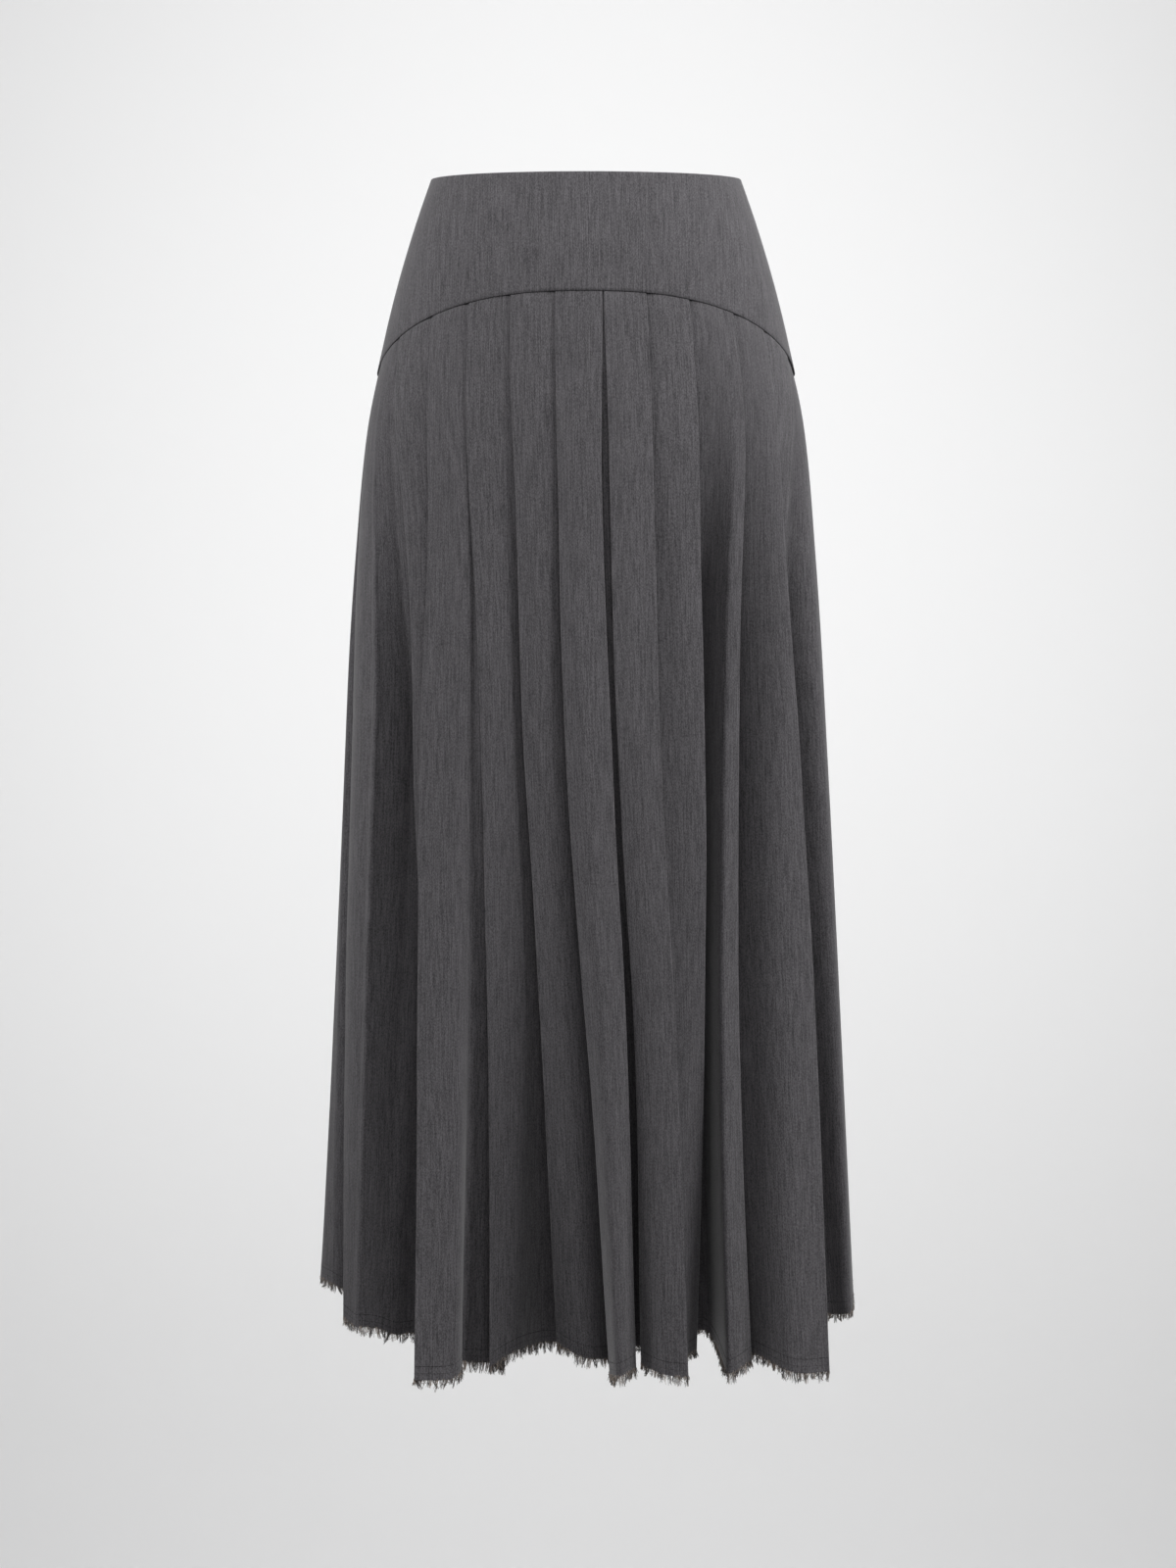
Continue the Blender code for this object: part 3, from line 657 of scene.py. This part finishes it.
def melange_group():
    """Heathered suiting: uneven warp streaks over a fine twill."""
    group = bpy.data.node_groups.get("melange")
    if group:
        return group
    group = bpy.data.node_groups.new("melange", "ShaderNodeTree")
    sockets = group.interface
    sockets.new_socket("Cloth", in_out="INPUT", socket_type="NodeSocketVector")
    for name in ("Dark", "Light"):
        sockets.new_socket(name, in_out="INPUT", socket_type="NodeSocketColor")
    sockets.new_socket("Streaks", in_out="INPUT", socket_type="NodeSocketFloat")
    sockets.new_socket("Color", in_out="OUTPUT", socket_type="NodeSocketColor")
    sockets.new_socket("Height", in_out="OUTPUT", socket_type="NodeSocketFloat")
    source = node(group, "NodeGroupInput", (-1400, 0))
    result = node(group, "NodeGroupOutput", (900, 0))
    uv = source.outputs["Cloth"]
    total = 0.0
    for step, (across, down, detail, seed, weight) in enumerate(MELANGE_NOISES):
        noise = stretched_noise(group, (-1200, 500 - 250 * step), uv, across, down, detail, seed)
        centred = maths(group, (-800, 400 - 160 * step), "SUBTRACT", noise, 0.5)
        scaled = maths(group, (-640, 400 - 160 * step), "MULTIPLY", centred, weight)
        total = maths(group, (-480 + 150 * step, 400), "ADD", total, scaled)
    spread = maths(group, (200, 400), "MULTIPLY", total, source.outputs["Streaks"])
    spread = maths(group, (340, 400), "ADD", spread, 0.5)
    spread = node(group, "ShaderNodeClamp", (480, 400), {0: spread}).outputs[0]
    colour = mix_colours(group, (640, 300), spread, source.outputs["Dark"],
                         source.outputs["Light"])
    # the twill's fine diagonal, with the last noise, the grain, over it
    turn = (0, 0, math.radians(TWILL_ANGLE))
    ribs = node(group, "ShaderNodeMapping", (-1200, -500), {"Vector": uv, "Rotation": turn})
    wave = node(group, "ShaderNodeTexWave", (-1000, -500),
                {"Vector": ribs.outputs[0], "Scale": TWILL_SCALE, "Distortion": 0.6,
                 "Detail": 1.0})
    height = maths(group, (-500, -400), "MULTIPLY", wave.outputs["Fac"], TWILL_DEPTH)
    height = maths(group, (-300, -400), "ADD", height, noise)
    feed(group, result, {"Color": colour, "Height": height})
    return group


def suiting_material(name, dark, light, streaks, sheen=0.32):
    """Cloth woven from dark and light fibres, with its pattern on the piece's own UV map."""
    material, tree, shader = new_finish(name, roughness=0.86, specular=0.22)
    uv = node(tree, "ShaderNodeUVMap", (-900, 0), uv_map="cloth").outputs[0]
    cloth = node(tree, "ShaderNodeGroup", (-600, 0), node_tree=melange_group())
    feed(tree, cloth, {"Cloth": uv, "Dark": (*dark, 1), "Light": (*light, 1),
                       "Streaks": streaks})
    bump = node(tree, "ShaderNodeBump", (-300, -200),
                {"Height": cloth.outputs["Height"], "Strength": 0.25, "Distance": 0.0004})
    feed(tree, shader, {"Base Color": cloth.outputs["Color"], "Normal": bump.outputs[0],
                        "Sheen Weight": sheen, "Sheen Roughness": 0.45})
    return material


def thread_material(name, colour, sheen=0.3):
    """One tone of loose thread, with a little change along its length."""
    material, tree, shader = new_finish(name, roughness=0.8, specular=0.25)
    noise = piece_noise(tree, scale=420.0, detail=1.0)
    tone = uneven_colour(tree, noise, colour, darkest=0.72)
    feed(tree, shader, {"Base Color": tone, "Sheen Weight": sheen})
    return material


def zip_material(name, colour, roughness, metallic=0.0, grain=900.0, depth=0.12):
    """Lacquered metal or nylon, with fine grain and slight colour change."""
    material, tree, shader = new_finish(name, roughness, specular=0.5)
    noise = piece_noise(tree, grain, detail=2.0)
    tone = uneven_colour(tree, noise, colour, darkest=0.8)
    rough = maths(tree, (-400, -80), "MULTIPLY", noise, depth)
    rough = maths(tree, (-240, -80), "ADD", rough, roughness)
    feed(tree, shader, {"Base Color": tone, "Roughness": rough, "Metallic": metallic})
    return material


# ======== settings ========
COLOUR = {"subtype": "COLOR", "size": 3, "min": 0, "max": 1}
LENGTH = {"subtype": "DISTANCE", "unit": "LENGTH"}
POWER = {"subtype": "POWER", "min": 0, "max": 500}


class SkirtClothSettings(bpy.types.PropertyGroup):
    dark: FloatVectorProperty(
        name="Dark fibre", description="The darker fibres of the melange",
        default=(0.047, 0.0446, 0.0485), **COLOUR)
    light: FloatVectorProperty(
        name="Light fibre", description="The paler fibres of the melange",
        default=(0.146, 0.139, 0.149), **COLOUR)
    streaks: FloatProperty(
        name="Streaks", description="How strongly the fibres part into streaks",
        default=2.6, min=0, max=8)
    thickness: FloatProperty(
        name="Thickness", description="One layer of suiting, in millimetres",
        default=0.4, min=0.2, max=1.5)
    yoke_thickness: FloatProperty(
        name="Yoke cloth", description="The yoke's cloth, in millimetres",
        default=0.55, min=0.2, max=1.5)


class SkirtFringeSettings(bpy.types.PropertyGroup):
    spacing: FloatProperty(
        name="Spacing", description="Between neighbouring threads, in millimetres",
        default=0.37, min=0.2, max=3)
    reach: FloatProperty(
        name="Reach", description="The longest threads below the raw edge, in millimetres",
        default=9.8, min=2, max=20)
    thread: FloatProperty(
        name="Thread radius", description="Half a thread's thickness, in millimetres",
        default=0.25, min=0.05, max=0.5)
    # the three thread colours are paler than the cloth's own fibres: partly the threads' real
    # grey-brown, partly painted light shining through the thin threads, with the pale backdrop
    # seen through them
    dark: FloatVectorProperty(
        name="Dark thread", description="Threads like the darker fibres",
        default=(0.07, 0.063, 0.061), **COLOUR)
    middle: FloatVectorProperty(
        name="Grey thread", description="Most of the loose threads",
        default=(0.19, 0.167, 0.155), **COLOUR)
    pale: FloatVectorProperty(
        name="Pale thread", description="The palest, slightly brown threads",
        default=(0.46, 0.385, 0.33), **COLOUR)


class SkirtStageSettings(bpy.types.PropertyGroup):
    lens: FloatProperty(
        name="Lens", description="Focal length on a 36 mm long side",
        default=58.48, min=10, max=300)
    distance: FloatProperty(
        name="Distance", description="Camera to the skirt's upright axis",
        default=2.113, min=0.5, max=10, **LENGTH)
    floor: FloatProperty(
        name="Floor", description="Height of the floor under the waist",
        default=-4.5, min=-8, max=-1, **LENGTH)
    left: FloatProperty(
        name="Left light", description="The soft light on the left", default=26.5, **POWER)
    right: FloatProperty(
        name="Right light", description="The soft light on the right", default=37, **POWER)
    front: FloatProperty(
        name="Front light", description="A weak light over the camera", default=17.5, **POWER)
    back: FloatProperty(
        name="Back light", description="A weak light high behind the skirt",
        default=12, **POWER)
    wall: FloatProperty(
        name="Wall lights", description="The two low lights on the backdrop",
        default=74, **POWER)
    glow: FloatProperty(
        name="Wall glow", description="The light high on the backdrop", default=41, **POWER)
    ambient: FloatProperty(
        name="Room light", description="Even light from all round",
        default=0.13, min=0, max=3)


# ======== panels of the skirt ========
def seam_end(angle, level, mid, hem):
    """The upright edge where a panel meets the next one."""
    return {"angle": angle, "levels": (level, level), "mids": (mid, mid),
            "hem": (*hem, 0), "fold": None, "bulge": 0, "hidden": False, "push": 0.0}


def panel_specs():
    """The folds, the creases and the two seams of each panel."""
    side = -SIDE_SEAM_LEVEL
    turn = float(degrees_for(SEAM_HALF_GAP, 90, HEM_DROP))
    zip_turn = float(degrees_for(ZIP_HALF_GAP, 180, YOKE_FRONT_DROP))
    left, right, back, gap = LEFT_SEAM_HEM, RIGHT_SEAM_HEM, BACK_SEAM_HEM, SEAM_HALF_GAP
    return {
        "front": (FRONT_FOLDS, FRONT_CREASES,
                  seam_end(-90 + turn, side, LEFT_SEAM_MID, (left[0], left[1] + gap)),
                  seam_end(90 - turn, side, RIGHT_SEAM_MID, (right[0], right[1] + gap))),
        "back_right": (BACK_RIGHT_FOLDS, BACK_RIGHT_CREASES,
                       seam_end(90 + turn, side, RIGHT_SEAM_MID, (right[0], right[1] - gap)),
                       seam_end(180 - zip_turn, 0.0, 0.0, (ZIP_HALF_GAP, back[1]))),
        "back_left": (BACK_LEFT_FOLDS, BACK_LEFT_CREASES,
                      seam_end(180 + zip_turn, 0.0, 0.0, (-ZIP_HALF_GAP, back[1])),
                      seam_end(270 - turn, side, LEFT_SEAM_MID, (left[0], left[1] - gap))),
    }


GRIDS = {}


def panel_grid(side):
    """The finished cloth of one pleated panel, worked out once and shared by its trimmings."""
    if side not in GRIDS:
        rows, creases, start, finish = panel_specs()[side]
        folds = [Fold(*row[:3], row[3:7], row[7:9], row[9:11], row[11:] or (0, 0))
                 for row in rows]
        columns = panel_columns(folds, [Crease(*crease) for crease in creases], start, finish)
        even = np.linspace(SEAM_ROWS[-1], 1, SKIRT_ROWS - len(SEAM_ROWS) + 1)
        fractions = np.concatenate((SEAM_ROWS[:-1], even))
        grid = cloth_grid(columns, fractions)
        if side != "front":
            edge, way = (-1, 1) if side == "back_right" else (0, -1)
            shut = np.clip((-grid[:, edge, 2] - ZIP_FOOT) / SEAM_SHUT, 0, 1)
            grid[:, edge, 0] = way * lerp(ZIP_HALF_GAP, SEAM_HALF_GAP, shut)
        GRIDS[side] = grid
    return GRIDS[side]


def suiting():
    """The skirt's own cloth, made once."""
    cloth = bpy.context.scene.skirt_cloth
    name = "melange suiting"
    return bpy.data.materials.get(name) or suiting_material(
        name, tuple(cloth.dark), tuple(cloth.light), cloth.streaks)


class SKIRT_OT_pleated_panels(bpy.types.Operator):
    """Hang the pleated front and back panels from the yoke seam"""
    bl_idname = "skirt.pleated_panels"
    bl_label = "Pleated panels"

    def execute(self, context):
        cloth = context.scene.skirt_cloth
        for side in ("front", "back_right", "back_left"):
            grid = panel_grid(side)
            across, down = cloth_lengths(grid)
            piece = sheet_object("pleats_" + side, grid, across, down, suiting(),
                                 cloth.thickness)
            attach(piece, "skirt")
            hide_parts("skirt_" + side)
        return {"FINISHED"}


# ======== yoke ========
YOKE_ENDS = {"yoke_front": (-90, 90), "yoke_back_right": (90, 180),
             "yoke_back_left": (180, 270)}
YOKE_COLUMNS = {"yoke_front": 150, "yoke_back_right": 76, "yoke_back_left": 76}
YOKE_ROWS = 44              # over the visible cloth
YOKE_FACING = 34.0          # the facing turned down inside the waist
FACING_ROWS = 9
YOKE_TURN = 0.42            # radius of the folded edges
YOKE_UNDER = (7.0, 3.5, 1.6)    # rows of the seam allowance turned up behind the lower edge
SEAM_DIP = (0.7, 1.6)       # how deep and how wide the cloth dips at a side seam and the zip
PRESS_MARK = (0.35, 12, 1.6, 78, 12)    # depth; x and width; drop and height


def yoke_profile(angles):
    """Rows of (drop, depth under the surface) from the hidden allowance up over the top."""
    seam = yoke_seam_drop(angles)
    rows = []

    def add_row(drop, depth):
        rows.append((np.full_like(seam, drop), np.full_like(seam, depth)))

    for rise in YOKE_UNDER:
        add_row(seam - rise, 2 * YOKE_TURN)
    for turn in (60, 30, 0, -30, -60):
        fall = YOKE_TURN * math.cos(math.radians(turn))
        add_row(seam - YOKE_TURN + fall, YOKE_TURN * (1 + math.sin(math.radians(turn))))
    for share in np.linspace(1, 0, YOKE_ROWS)[1:-1]:
        add_row(lerp(YOKE_TURN, seam - YOKE_TURN, share), 0)
    for turn in (-90, -60, -30, 0, 30, 60, 90):
        fall = YOKE_TURN * (1 - math.cos(math.radians(turn)))
        add_row(fall, YOKE_TURN * (1 + math.sin(math.radians(turn))))
    for drop in np.linspace(YOKE_TURN + 2, YOKE_FACING, FACING_ROWS):
        add_row(drop, 2 * YOKE_TURN)
    return rows


def bell(distance, width):
    """1 in the middle, falling smoothly to nothing over a few widths."""
    return np.exp(-(distance / width)**2)


def yoke_grid(name):
    first, last = YOKE_ENDS[name]
    gaps = [ZIP_HALF_GAP if end == 180 else SEAM_HALF_GAP for end in (first, last)]
    first += float(degrees_for(gaps[0], first, 0))
    last -= float(degrees_for(gaps[1], last, 0))
    angles = np.linspace(first, last, YOKE_COLUMNS[name])
    grid = []
    for drop, depth in yoke_profile(angles):
        plan = body_plan(angles, drop)
        edge = np.minimum(angles - first, last - angles) / degrees_for(1.0, angles, drop)
        depth = depth + SEAM_DIP[0] * bell(edge, SEAM_DIP[1])
        if name == "yoke_front":
            mark, x, width, level, height = PRESS_MARK
            depth = depth + mark * bell(plan[:, 0] - x, width) * bell(drop - level, height)
        plan = plan - body_outward(angles, drop) * depth[:, None]
        grid.append(np.concatenate((plan, -drop[:, None]), axis=1))
    return np.array(grid)[::-1]


class SKIRT_OT_yoke(bpy.types.Operator):
    """Fit the smooth yoke, its folded top edge and its facing"""
    bl_idname = "skirt.yoke"
    bl_label = "Yoke"

    def execute(self, context):
        thickness = context.scene.skirt_cloth.yoke_thickness
        for name in YOKE_ENDS:
            grid = yoke_grid(name)
            across, down = cloth_lengths(grid, straight=True)
            piece = sheet_object(name + "_cloth", grid, across, down, suiting(), thickness)
            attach(piece, "skirt")
            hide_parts(name)
        return {"FINISHED"}


# ======== frayed hem ========
FRAY_SEED = 40
HEM_ROWS = 4                # the cloth's last rows, which reach up past both rows of stitches
FRAY_ROOT = 1.2             # how far above the raw edge the threads start
CLUMP_WIDTHS = (1.4, 5.0)
CLUMP_LENGTHS = (0.5, 1.0)  # shares of the reach
CLUMP_LEAN = 1.2            # how far the tufts stray along the hem and out from the cloth
CLUMP_SWING = 0.8
CLUMP_TIGHT = (0.1, 0.8)    # how far a tuft's threads gather to its middle
CLUMP_RATES = (0.8, 1.5, 1.3)   # powers of the way down: gathering, leaning, standing out
HOOKED_CLUMPS = 0.45        # the share of the tufts that hook, from a share of their reach
HOOK = 1.6
HOOK_START = 0.7
HOOK_SLOPE = 3
BARE_CLUMPS = 0.08          # the share of thin tufts, and of the threads that they have lost
BARE_LOSS = 0.7
CLUMP_TONES = (0.34, 0.40, 0.26)        # shares of dark, grey and pale
LOOSE_TONES = {False: (0.3, 0.45, 0.25), True: (0.15, 0.35, 0.5)}   # in tufts, in the frizz
OWN_TONES = 0.5             # the share of a tuft's threads that have the tuft's tone
THREAD_LENGTHS = (0.75, 1.08)
THREAD_CURL = 0.7
THREAD_SHARES = (0.3, 0.66, 1.0)
FRIZZ_SPACING = 2.2         # times the spacing of the threads in the tufts
FRIZZ_LENGTHS = (0.3, 0.85)
FRIZZ_CRINKLE = np.array((1.5, 0.9))    # along the hem and out from it
FRIZZ_SHARES = (0.35, 0.7, 1.0)


def run_along(line):
    """How far each point of a line lies along it."""
    return np.concatenate(((0,), np.cumsum(np.linalg.norm(np.diff(line, axis=0), axis=1))))


def points_on(line, along, places):
    return np.stack([np.interp(places, along, line[:, axis]) for axis in range(3)], axis=1)


def hem_line(side, above):
    """The cloth's middle at a height above its raw edge, in millimetres."""
    grid = panel_grid(side)
    line = np.empty((grid.shape[1], 3))
    for column, points in enumerate(grid[-HEM_ROWS:].transpose(1, 0, 2)):
        for axis in range(3):
            line[column, axis] = np.interp(-points[-1, 2] - above, -points[:, 2],
                                           points[:, axis])
    return line


def clump_edges(rng, length):
    """Where the tufts of a hem part, unevenly."""
    edges = [0.0]
    while edges[-1] < length:
        edges.append(edges[-1] + rng.uniform(*CLUMP_WIDTHS))
    return np.array(edges)


def frayed_paths(side, settings, seed):
    """Hanging threads that gather into tufts, and between them a finer crinkled frizz."""
    rng = np.random.default_rng(seed)
    line = hem_line(side, FRAY_ROOT)
    along = run_along(line)
    gathering, leaning, standing = CLUMP_RATES
    paths, tone_list = [], []
    for frizz in (False, True):
        spacing = settings.spacing * (FRIZZ_SPACING if frizz else 1.0)
        places = np.arange(spacing / 2, along[-1], spacing)
        roots = points_on(line, along, places)
        ways = unit(np.gradient(roots, axis=0)[:, :2])
        edges = clump_edges(rng, places[-1])
        clump = np.searchsorted(edges, places) - 1
        count = len(edges)
        lengths = rng.uniform(*CLUMP_LENGTHS, count)
        leans = rng.normal(0, CLUMP_LEAN, count)
        swings = rng.normal(0, CLUMP_SWING, count)
        tight = rng.uniform(*CLUMP_TIGHT, count)
        hooks = np.where(rng.random(count) < HOOKED_CLUMPS, rng.normal(0, HOOK, count), 0)
        bare = rng.random(count) < BARE_CLUMPS
        tones = rng.choice(3, count, p=CLUMP_TONES)
        for root, way, place, group in zip(roots, ways, places, clump):
            if bare[group] and rng.random() < BARE_LOSS:
                continue
            side_way = np.array((way[0], way[1], 0))
            out_way = np.array((way[1], -way[0], 0))
            reach = settings.reach * lengths[group] * rng.uniform(*THREAD_LENGTHS) + FRAY_ROOT
            middle = (edges[group] + edges[min(group + 1, count - 1)]) / 2
            gather = (middle - place) * tight[group]
            curl = rng.normal(0, THREAD_CURL, 2)
            if frizz:
                reach *= rng.uniform(*FRIZZ_LENGTHS)
            points = [root]
            for share in FRIZZ_SHARES if frizz else THREAD_SHARES:
                if frizz:
                    shift, push = rng.normal(0, 1, 2) * FRIZZ_CRINKLE * share
                else:
                    shift = (gather * share**gathering + leans[group] * share**leaning
                             + curl[0] * share)
                    shift += hooks[group] * max(share - HOOK_START, 0) * HOOK_SLOPE
                    push = swings[group] * share**standing + curl[1] * share**2
                points.append(root + side_way * shift + out_way * push
                              - np.array((0, 0, reach * share)))
            paths.append(np.array(points))
            loose = rng.choice(3, p=LOOSE_TONES[frizz])
            own = rng.random() < OWN_TONES and not frizz
            tone_list.append(tones[group] if own else loose)
    return paths, tone_list


class SKIRT_OT_frayed_hem(bpy.types.Operator):
    """Fray the raw edge of each panel into tufts of loose threads"""
    bl_idname = "skirt.frayed_hem"
    bl_label = "Frayed hem"

    def execute(self, context):
        settings = context.scene.skirt_fringe
        materials = [thread_material("thread_dark", tuple(settings.dark)),
                     thread_material("thread_grey", tuple(settings.middle)),
                     thread_material("thread_pale", tuple(settings.pale))]
        for seed, side in enumerate(("front", "back_right", "back_left")):
            paths, tones = frayed_paths(side, settings, FRAY_SEED + seed)
            piece = threads_object("fray_" + side, paths, settings.thread, materials, tones)
            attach(piece, "skirt")
            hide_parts("fringe_" + side)
        return {"FINISHED"}


STITCH_ROWS = ((10.5, 0.20), (5.0, 0.13))   # height over the raw edge, thread radius
STITCH_LENGTH = 2.7
STITCH_PITCH = 3.3
STITCH_RISE = 0.6           # its middle's height over the cloth, as a share of its radius
STITCH_ENDS = 0.4           # its ends' height over the cloth's middle, as a share of that


def stitch_paths(side, above, lift):
    """Short stitches on the cloth's outer face, each bowed out a little in its middle."""
    line = hem_line(side, above)
    along = run_along(line)
    rises = np.array((STITCH_ENDS, 1, STITCH_ENDS)) * lift
    paths = []
    for place in np.arange(STITCH_PITCH / 2, along[-1], STITCH_PITCH):
        spots = np.array((place - STITCH_LENGTH / 2, place, place + STITCH_LENGTH / 2))
        path = points_on(line, along, spots)
        way = unit((path[2] - path[0])[:2])
        paths.append(path + np.array((way[1], -way[0], 0)) * rises[:, None])
    return paths


class SKIRT_OT_hem_stitches(bpy.types.Operator):
    """Run the two rows of stitches that hold the frayed hem"""
    bl_idname = "skirt.hem_stitches"
    bl_label = "Hem stitches"

    def execute(self, context):
        half = context.scene.skirt_cloth.thickness / 2
        material = thread_material("stitch_thread", (0.018, 0.017, 0.018), sheen=0.1)
        for side in ("front", "back_right", "back_left"):
            for index, (above, radius) in enumerate(STITCH_ROWS):
                paths = stitch_paths(side, above, half + radius * STITCH_RISE)
                piece = threads_object(f"hem_stitches_{side}_{index}", paths, radius,
                                       [material], [0] * len(paths), taper=1.0)
                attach(piece, "skirt")
        return {"FINISHED"}


# ======== zip ========
def back_line(drop, depth):
    """A point under the centre-back surface, and the way out from it."""
    here = body_size(np.array([drop, drop + 1.0]))[:, 2]
    along = unit(np.array((0, here[1] - here[0], -1.0)))
    outward = np.array((0, -along[2], along[1]))
    return np.array((0, here[0], -drop)) - outward * depth, outward


class SKIRT_OT_zip(bpy.types.Operator):
    """Wind the zip's coil and finish its tape, slider and pull"""
    bl_idname = "skirt.zip"
    bl_label = "Zip"

    def execute(self, context):
        nylon = zip_material("zip_nylon", (0.045, 0.045, 0.048), roughness=0.42)
        metal = zip_material("zip_lacquer", (0.075, 0.075, 0.08), roughness=0.3,
                             metallic=0.85, grain=1400, depth=0.2)
        tape = suiting_material("zip_tape_weave", dark=(0.03, 0.03, 0.031),
                                light=(0.06, 0.06, 0.062), streaks=1.5, sheen=0.1)
        path = []
        turns = int((ZIP_FOOT - SLIDER_FOOT) / COIL_PITCH)
        for step in range(turns * COIL_STEPS + 1):
            turn = step / COIL_STEPS
            middle, outward = back_line(SLIDER_FOOT + turn * COIL_PITCH, COIL_DEPTH)
            across = COIL_HALF * math.cos(turn * 2 * math.pi)
            path.append(middle + np.array((across, 0, 0))
                        + outward * COIL_RISE * math.sin(turn * 2 * math.pi))
        piece = threads_object("zip_teeth", [np.array(path)], COIL_WIRE, [nylon], [0],
                               taper=1.0)
        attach(piece, "skirt")
        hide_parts("zip_coil")
        for name, material in (("zip_slider", metal), ("zip_pull", metal),
                               ("zip_tape_right", tape), ("zip_tape_left", tape)):
            cad = bpy.data.objects[name]
            for slot in cad.material_slots:
                slot.material = material
        return {"FINISHED"}


# ======== stage ========
CAMERA_SIDE = 0.0016        # to the right of the skirt's axis
CAMERA_HEIGHT = -0.1549
CAMERA_TILT = 80.86         # 90 degrees would be level


def area_light(name, place, target, size, power):
    """A soft rectangular light that faces its target."""
    light = bpy.data.lights.new(name, "AREA")
    light.shape = "RECTANGLE"
    light.size, light.size_y = size
    light.energy = power
    lamp = link_object(name, light)
    lamp.location = place
    aim = Vector(target) - Vector(place)
    lamp.rotation_euler = aim.to_track_quat("-Z", "Y").to_euler()


def stage_material():
    """Matt white with a hardly visible change of tone."""
    material, tree, shader = new_finish("pale_stage", roughness=0.9, specular=0.1)
    noise = piece_noise(tree, scale=0.6, detail=0.0)
    tone = mix_colours(tree, (-400, 0), noise, (0.855, 0.855, 0.857, 1),
                       (0.865, 0.865, 0.867, 1))
    feed(tree, shader, {"Base Color": tone})
    return material


def sweep_backdrop(floor, material):
    """A pale floor that curves up into a wall behind the skirt."""
    shape = bmesh.new()
    bmesh.ops.create_grid(shape, x_segments=2, y_segments=60, size=1.0)
    front, back, radius, height, half_width = -4.0, 5.5, 1.2, 7.0, 7.0
    straight = back - radius - front
    bend = radius * math.pi / 2
    total = straight + bend + height
    for vert in shape.verts:
        run = (vert.co.y + 1) / 2 * total
        if run < straight:
            y, z = front + run, 0.0
        elif run < straight + bend:
            turn = (run - straight) / radius
            y = back - radius + radius * math.sin(turn)
            z = radius * (1 - math.cos(turn))
        else:
            y, z = back, radius + run - straight - bend
        vert.co = Vector((vert.co.x * half_width, y, floor + z))
    mesh = bpy.data.meshes.new("backdrop")
    shape.to_mesh(mesh)
    shape.free()
    mesh.polygons.foreach_set("use_smooth", [True] * len(mesh.polygons))
    mesh.materials.append(material)
    return link_object("backdrop", mesh)


class SKIRT_OT_stage(bpy.types.Operator):
    """Set the pale stage, the soft lights and the camera"""
    bl_idname = "skirt.stage"
    bl_label = "Stage"

    def execute(self, context):
        scene = context.scene
        settings = scene.skirt_stage
        sweep_backdrop(settings.floor, stage_material())
        for side, power in ((-1, settings.left), (1, settings.right)):
            area_light("side_light", (1.55 * side, -0.6, 0.95), (0, 0, 0), (0.8, 0.9), power)
        area_light("front_light", (0, -2.0, 1.2), (0, 0, -0.2), (1.6, 0.9), settings.front)
        area_light("back_light", (0, 2.1, 1.4), (0, 0, -0.3), (1.6, 0.9), settings.back)
        for side in (-1, 1):
            area_light("wall_light", (1.6 * side, 1.0, -0.9), (0.4 * side, 5.5, -1.0),
                       (0.8, 0.8), settings.wall)
        area_light("wall_glow", (0.1, 2.2, 1.9), (0.1, 5.5, 0.3), (1.6, 1.0), settings.glow)
        world = bpy.data.worlds.new("studio")
        world.use_nodes = True
        backdrop = world.node_tree.nodes["Background"]
        backdrop.inputs[0].default_value = (1.0, 1.0, 1.0, 1)
        backdrop.inputs[1].default_value = settings.ambient
        scene.world = world
        scene.view_settings.view_transform = "Standard"
        camera = bpy.data.cameras.new("camera")
        camera.sensor_width = 36.0
        camera.lens = settings.lens
        eye = link_object("camera", camera)
        eye.location = (CAMERA_SIDE, -settings.distance, CAMERA_HEIGHT)
        eye.rotation_euler = (math.radians(CAMERA_TILT), 0, 0)
        scene.camera = eye
        return {"FINISHED"}


class SKIRT_PT_panel(bpy.types.Panel):
    bl_label = "Pleated skirt"
    bl_idname = "SKIRT_PT_panel"
    bl_space_type = "VIEW_3D"
    bl_region_type = "UI"
    bl_category = "Skirt"

    def draw(self, context):
        for group in ("skirt_cloth", "skirt_fringe", "skirt_stage"):
            settings = getattr(context.scene, group)
            box = self.layout.box()
            for name in settings.__annotations__:
                box.prop(settings, name)
        for operator in OPERATORS:
            self.layout.operator(operator.bl_idname)


OPERATORS = (SKIRT_OT_yoke, SKIRT_OT_pleated_panels, SKIRT_OT_frayed_hem,
             SKIRT_OT_hem_stitches, SKIRT_OT_zip, SKIRT_OT_stage)
SETTINGS = (("skirt_cloth", SkirtClothSettings), ("skirt_fringe", SkirtFringeSettings),
            ("skirt_stage", SkirtStageSettings))


def register():
    for name, settings in SETTINGS:
        bpy.utils.register_class(settings)
        setattr(bpy.types.Scene, name, PointerProperty(type=settings))
    for operator in OPERATORS:
        bpy.utils.register_class(operator)
    bpy.utils.register_class(SKIRT_PT_panel)


def unregister():
    bpy.utils.unregister_class(SKIRT_PT_panel)
    for operator in reversed(OPERATORS):
        bpy.utils.unregister_class(operator)
    for name, settings in reversed(SETTINGS):
        delattr(bpy.types.Scene, name)
        bpy.utils.unregister_class(settings)


def main():
    register()
    bpy.ops.skirt.stage()
    bpy.ops.skirt.yoke()
    bpy.ops.skirt.pleated_panels()
    bpy.ops.skirt.frayed_hem()
    bpy.ops.skirt.hem_stitches()
    bpy.ops.skirt.zip()


if __name__ == "__main__":
    main()
